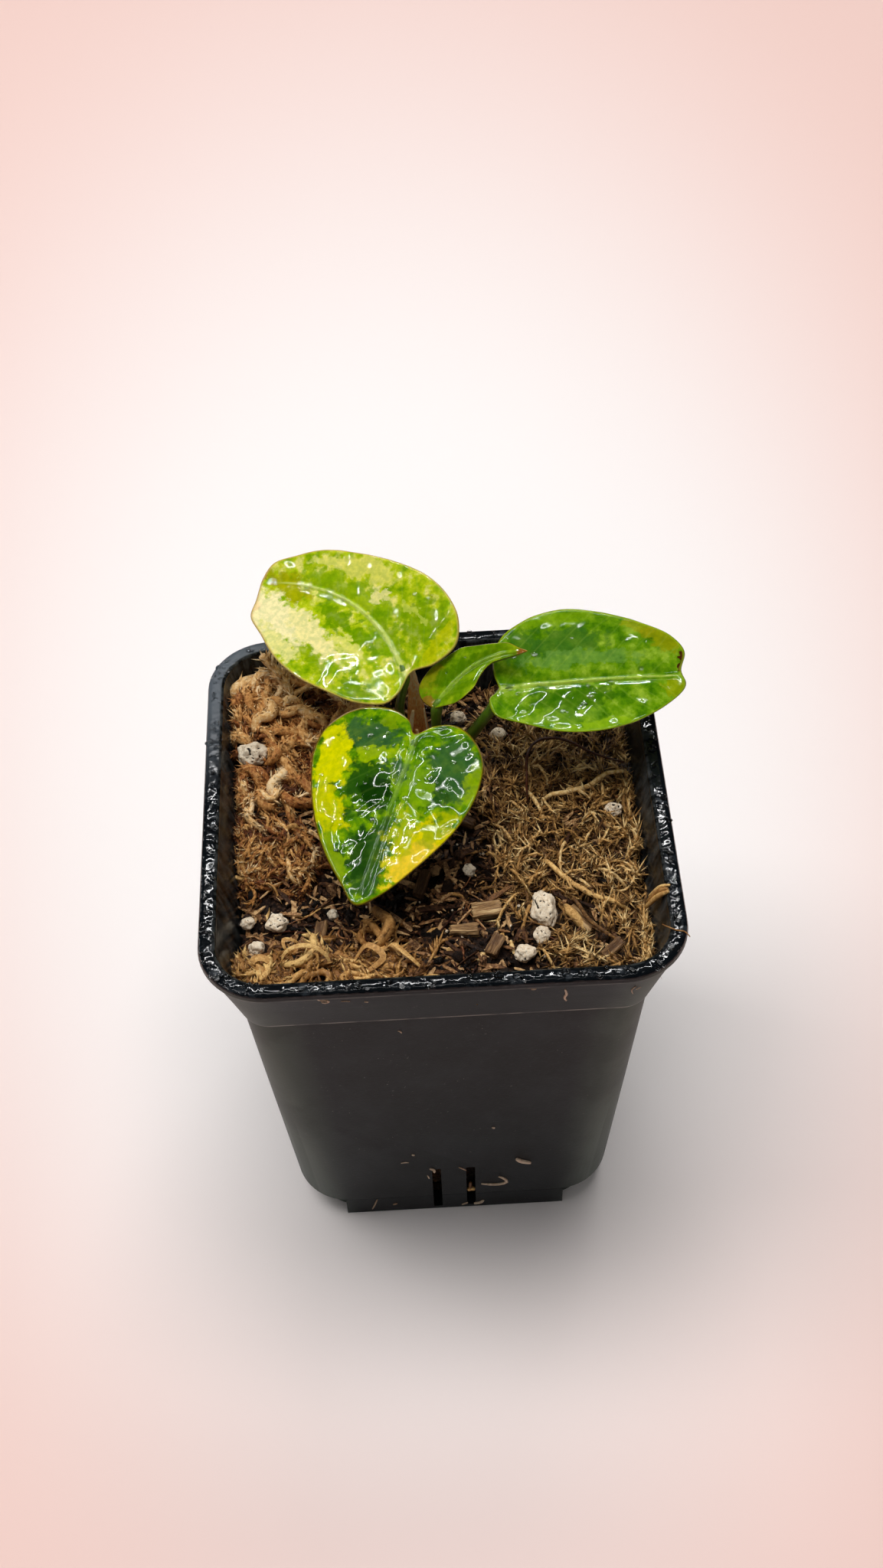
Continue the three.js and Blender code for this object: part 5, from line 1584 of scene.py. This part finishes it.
petioles = {
    # radius, and the places that each stalk passes on its way to the blade
    "front": (0.85, [(-0.6, 12.0, 70.6), (-1, 11.6, 71.8), (-2.2, 10.2, 76), (-3, 8, 81)]),
    "left": (0.8, [(-0.5, 13.8, 70.6), (-0.9, 14.2, 71.8), (-3.6, 15.2, 76), (-4.7, 16, 81)]),
    "right": (0.95, [(0.8, 12.6, 70.6), (1.6, 12.4, 71.8), (4.6, 11.6, 77), (8.6, 11.4, 84)]),
    "young": (0.9, [(0.8, 13.8, 70.6), (1, 14.2, 71.8), (1.1, 13.6, 76), (0.9, 13, 80)]),
}


def makePetioles(material):
    count = 40
    along = np.linspace(0, 1, count)
    for name, (radius, path) in petioles.items():
        leaf = leaves[name]
        # the last two places lie under the blade
        ends = [bladePoint(leaf, u, midribAt(leaf, u), z) for u, z in ((0.5, -1.1), (2.2, -0.75))]
        points = smoothPath([*path, *ends], count)
        radii = radius * (1.12 - 0.3 * along) * (1 + 0.22 * np.exp(-((along - 0.86) / 0.07) ** 2))
        radii *= np.where(along > 0.93, 1 - 0.55 * (along - 0.93) / 0.07, 1)
        piece = strandPiece([(points, radii, 0.5)], 3)
        setAttribute(piece, "alongStalk", np.repeat(along, len(piece.data.vertices) // count))
        finishPiece(piece, "stalk" + name.capitalize(), material, ("petiole_" + name,))


def stalkMaterial():
    material = newMaterial("greenStalk", Roughness=0.35, CoatWeight=0.6, CoatRoughness=0.08,
                           SubsurfaceWeight=0.1, SubsurfaceScale=0.0008)
    stops = [(0.0, 150, 104, 44), (0.2, 84, 98, 22), (0.6, 62, 86, 12), (1.0, 96, 132, 24)]
    streak = grain(stretched(millimetres(), (2.5, 2.5, 0.4)), 1.0, 3.0)
    colour = mixed(fade(streak, 0.35, 0.7, 0.0, 0.45), ramp(attribute("alongStalk"), stops), (38, 54, 8))
    return paint(material, BaseColor=colour, Normal=bump(streak, 0.08))


stem = {
    "place": (0.2, 12.8),
    # radius and height of each ring
    "rings": [(2.4, 62.0), (2.9, 66.5), (3.0, 70.6), (2.7, 71.6), (2.2, 72.4), (1.3, 73.1), (0.5, 73.4)],
}


def grownAbout(point, centre, grow):
    return Vector(((point.x - centre.x) * grow + centre.x, (point.y - centre.y) * grow + centre.y, point.z))


def makeStem(material):
    x, y = stem["place"]
    radius, foot = stem["rings"][0]
    place = (x * mm, y * mm, (foot - 0.5) * mm)
    piece = add("cylinder", vertices=32, radius=radius * mm, depth=mm, location=place)
    applyMoves()
    openMesh()
    pick(piece, lambda face: face.normal.z > 0.9, "faces")
    centre = Vector((x * mm, y * mm, 0))
    for (oldRadius, oldZ), (nextRadius, nextZ) in zip(stem["rings"], stem["rings"][1:]):
        bpy.ops.mesh.extrude_region_move(TRANSFORM_OT_translate={"value": (0, 0, (nextZ - oldZ) * mm)})
        moveSelected(piece, lambda point: grownAbout(point, centre, nextRadius / oldRadius))
    closeMesh()
    applyModifier(piece, "SUBSURF", levels=1, render_levels=1)
    points = coordinates(piece) / mm
    swell = 1 + 0.12 * roughness3d(points, 1.4, 5.0)
    points[:, :2] = (points[:, :2] - np.array([x, y])) * swell[:, None] + np.array([x, y])
    setCoordinates(piece, points * mm)
    setAttribute(piece, "tint", 0.5)
    finishPiece(piece, "plantStem", material, ("stem",))


scale = {"base": (-1.8, 16.6, 70.6), "tip": (-2.4, 21, 84.5), "width": 3.4, "bulge": 1.1, "thickness": 0.18}


def makeScale(material):
    # the dry scale that once wrapped the stalks: a sheet cupped about its length, then given its thickness
    piece = add("grid", x_subdivisions=16, y_subdivisions=40, size=2)
    places = coordinates(piece)
    across, up = places[:, 0], (places[:, 1] + 1) / 2
    base, rise = np.array(scale["base"]), np.array(scale["tip"]) - np.array(scale["base"])
    back = np.cross(rise, (1, 0, 0))
    back /= np.linalg.norm(back)
    half = (scale["width"] / 2) * np.clip(1 - up, 0.02, 1) ** 0.7 + 0.25
    ragged = 0.12 * roughness3d(np.column_stack([up * 14, across * 0, across * 0]), 1.3, 3.0)
    cup = scale["bulge"] * (1 - 0.5 * up) * across ** 2
    ribs = 0.1 * np.sin(across * 9) * (1 - up)
    points = (base + up[:, None] * rise + (across * (half + ragged))[:, None] * np.array([1, 0, 0])
              + (cup + ribs)[:, None] * back)
    setCoordinates(piece, points * mm)
    applyModifier(piece, "SOLIDIFY", thickness=scale["thickness"] * mm, offset=0)
    setAttribute(piece, "tint", np.interp(coordinates(piece)[:, 2] / mm, (71, 83), (0.2, 0.9)))
    finishPiece(piece, "dryScale", material, ("sheath",))


scaleShreds = [
    # points, half width and tint of the torn bits of scale that stand about the stalks
    ([(-3.4, 15.0, 70.6), (-3.6, 15.6, 74.0), (-3.0, 16.6, 77.4), (-2.6, 17.4, 79.6)], 0.7, 0.95),
    ([(-2.0, 13.6, 70.6), (-1.7, 13.9, 74.2), (-2.2, 14.8, 78.0)], 0.6, 0.8),
    ([(-0.6, 13.0, 71.0), (-0.2, 13.2, 73.6), (0.4, 14.4, 76.4)], 0.55, 0.6),
    ([(0.6, 12.6, 71.0), (1.0, 12.9, 73.0), (0.7, 14.4, 75.2)], 0.5, 0.25),
    ([(-1.2, 14.8, 72.0), (-0.6, 15.4, 76.0), (-0.9, 17.0, 80.4)], 0.45, 1.0),
]


# Water

droplets = {
    # how many there are on the rim and on each leaf
    "rim": 260, "front": 16, "left": 9, "right": 12, "young": 2,
    # the size of those on the rim, and the height, width and corner of the band that they stand on
    "rimSize": (0.14, 0.5), "rimTop": 78.98, "rimBand": (32.9, 34.6), "rimCorner": 8.6,
}


def waterMaterial():
    return newMaterial("standingWater", BaseColor=(1, 1, 1, 1), Roughness=0.02, IOR=1.33,
                       TransmissionWeight=1.0)


def makeDroplets(material):
    chance = random.Random(91)
    dome = smallOnes("bead", 0)
    copies = []
    for _ in range(droplets["rim"]):
        size = chance.uniform(*droplets["rimSize"]) * (1.6 if chance.random() < 0.06 else 1)
        along = chance.uniform(-34, 34)
        inward = chance.uniform(*droplets["rimBand"])
        side = chance.randrange(4)
        x, y = ((along, -inward), (inward, along), (along, inward), (-inward, along))[side]
        straight = inward - droplets["rimCorner"]
        across, deep = abs(x) - straight, abs(y) - straight
        if across > 0 and deep > 0:
            reach = max(across, deep) / math.hypot(across, deep)
            x = math.copysign(straight + across * reach, x)
            y = math.copysign(straight + deep * reach, y)
        shape = (size * chance.uniform(0.8, 1.5), size, size * chance.uniform(0.35, 0.55))
        copies.append((0, (x, y, droplets["rimTop"]), Euler((0, 0, chance.uniform(0, 6))), shape, 0.5))
    finishPiece(scatterPiece(dome, copies), "rimDroplets", material)
    copies = []
    for name, leaf in leaves.items():
        turn = Vector(leafFrame(leaf)[2]).to_track_quat("Z", "Y").to_euler()
        placed = 0
        while placed < droplets[name]:
            u = chance.uniform(-2, leaf["length"] - 2)
            v = chance.uniform(-13, 12)
            if insideOutline(u, v, leaf["edge"])[0] < 1.2:
                continue
            size = chance.uniform(0.22, 0.6)
            shape = (size * 1.2, size, size * 0.5)
            copies.append((0, tuple(bladePoint(leaf, u, v, -0.32)), turn, shape, 0.5))
            placed += 1
    finishPiece(scatterPiece(dome, copies), "leafDroplets", material)


# Making

addCamera()
addLights()
addFloor()
print("camera, lights and floor are up")

makePot(potMaterial())
print("pot moulded")

makeBed(bedMaterial())
perliteLook = grainMaterial()
makeLoose(looseMaterial("peatCrumb", "brown", depth=0.3), looseMaterial("woodSplinter", "wood", depth=0.2),
          looseMaterial("fineRoot", "root", depth=0.05), perliteLook)
print("potting mix filled")

orangeMoss = looseMaterial("orangeSphagnum", "orange", depth=0.25)
goldMoss = looseMaterial("goldenSphagnum", "gold", rough=(0.6, 0.3), depth=0.12)
strawMoss = looseMaterial("strawSphagnum", "straw", depth=0.12)
makeMoss("mossBackLeft", orangeMoss, namedStrands(fatStrands))
makeMoss("mossLeft", looseMaterial("redBrownSphagnum", "redBrown", depth=0.2))
makeMoss("mossFront", goldMoss, namedStrands(goldenColumn))
makeMoss("mossRight", strawMoss)
makeLooseFibres(strawMoss)
finishPiece(ribbonPiece(goldenRibbons), "goldenRibbons", goldMoss)
print("moss laid")

makeGrains(perliteLook)
makeChips(chipMaterial())
makeSingle("wiryRoot", looseMaterial("wiryRootBark", "root", depth=0.05))
makeSingle("strawStrand", looseMaterial("dryStraw", "straw", depth=0.08))
makeSingle("orangeStraw", goldMoss)
makeSingle("mossFrond", orangeMoss)
makeClinging(looseMaterial("wallDebris", "debris", depth=0.1), goldMoss)
print("perlite, bark, straws and debris placed")

for leafName in leaves:
    makeLeaf(leafName, leafMaterial(leafName))
makePetioles(stalkMaterial())
paperyScale = looseMaterial("paperyScale", "scale", fibre=(2.5, 2.5, 0.3), depth=0.1)
makeStem(paperyScale)
makeScale(paperyScale)
finishPiece(ribbonPiece(scaleShreds), "scaleShreds", paperyScale)
makeDroplets(waterMaterial())
print("plant and water added")

bpy.context.scene.view_settings.view_transform = "Standard"
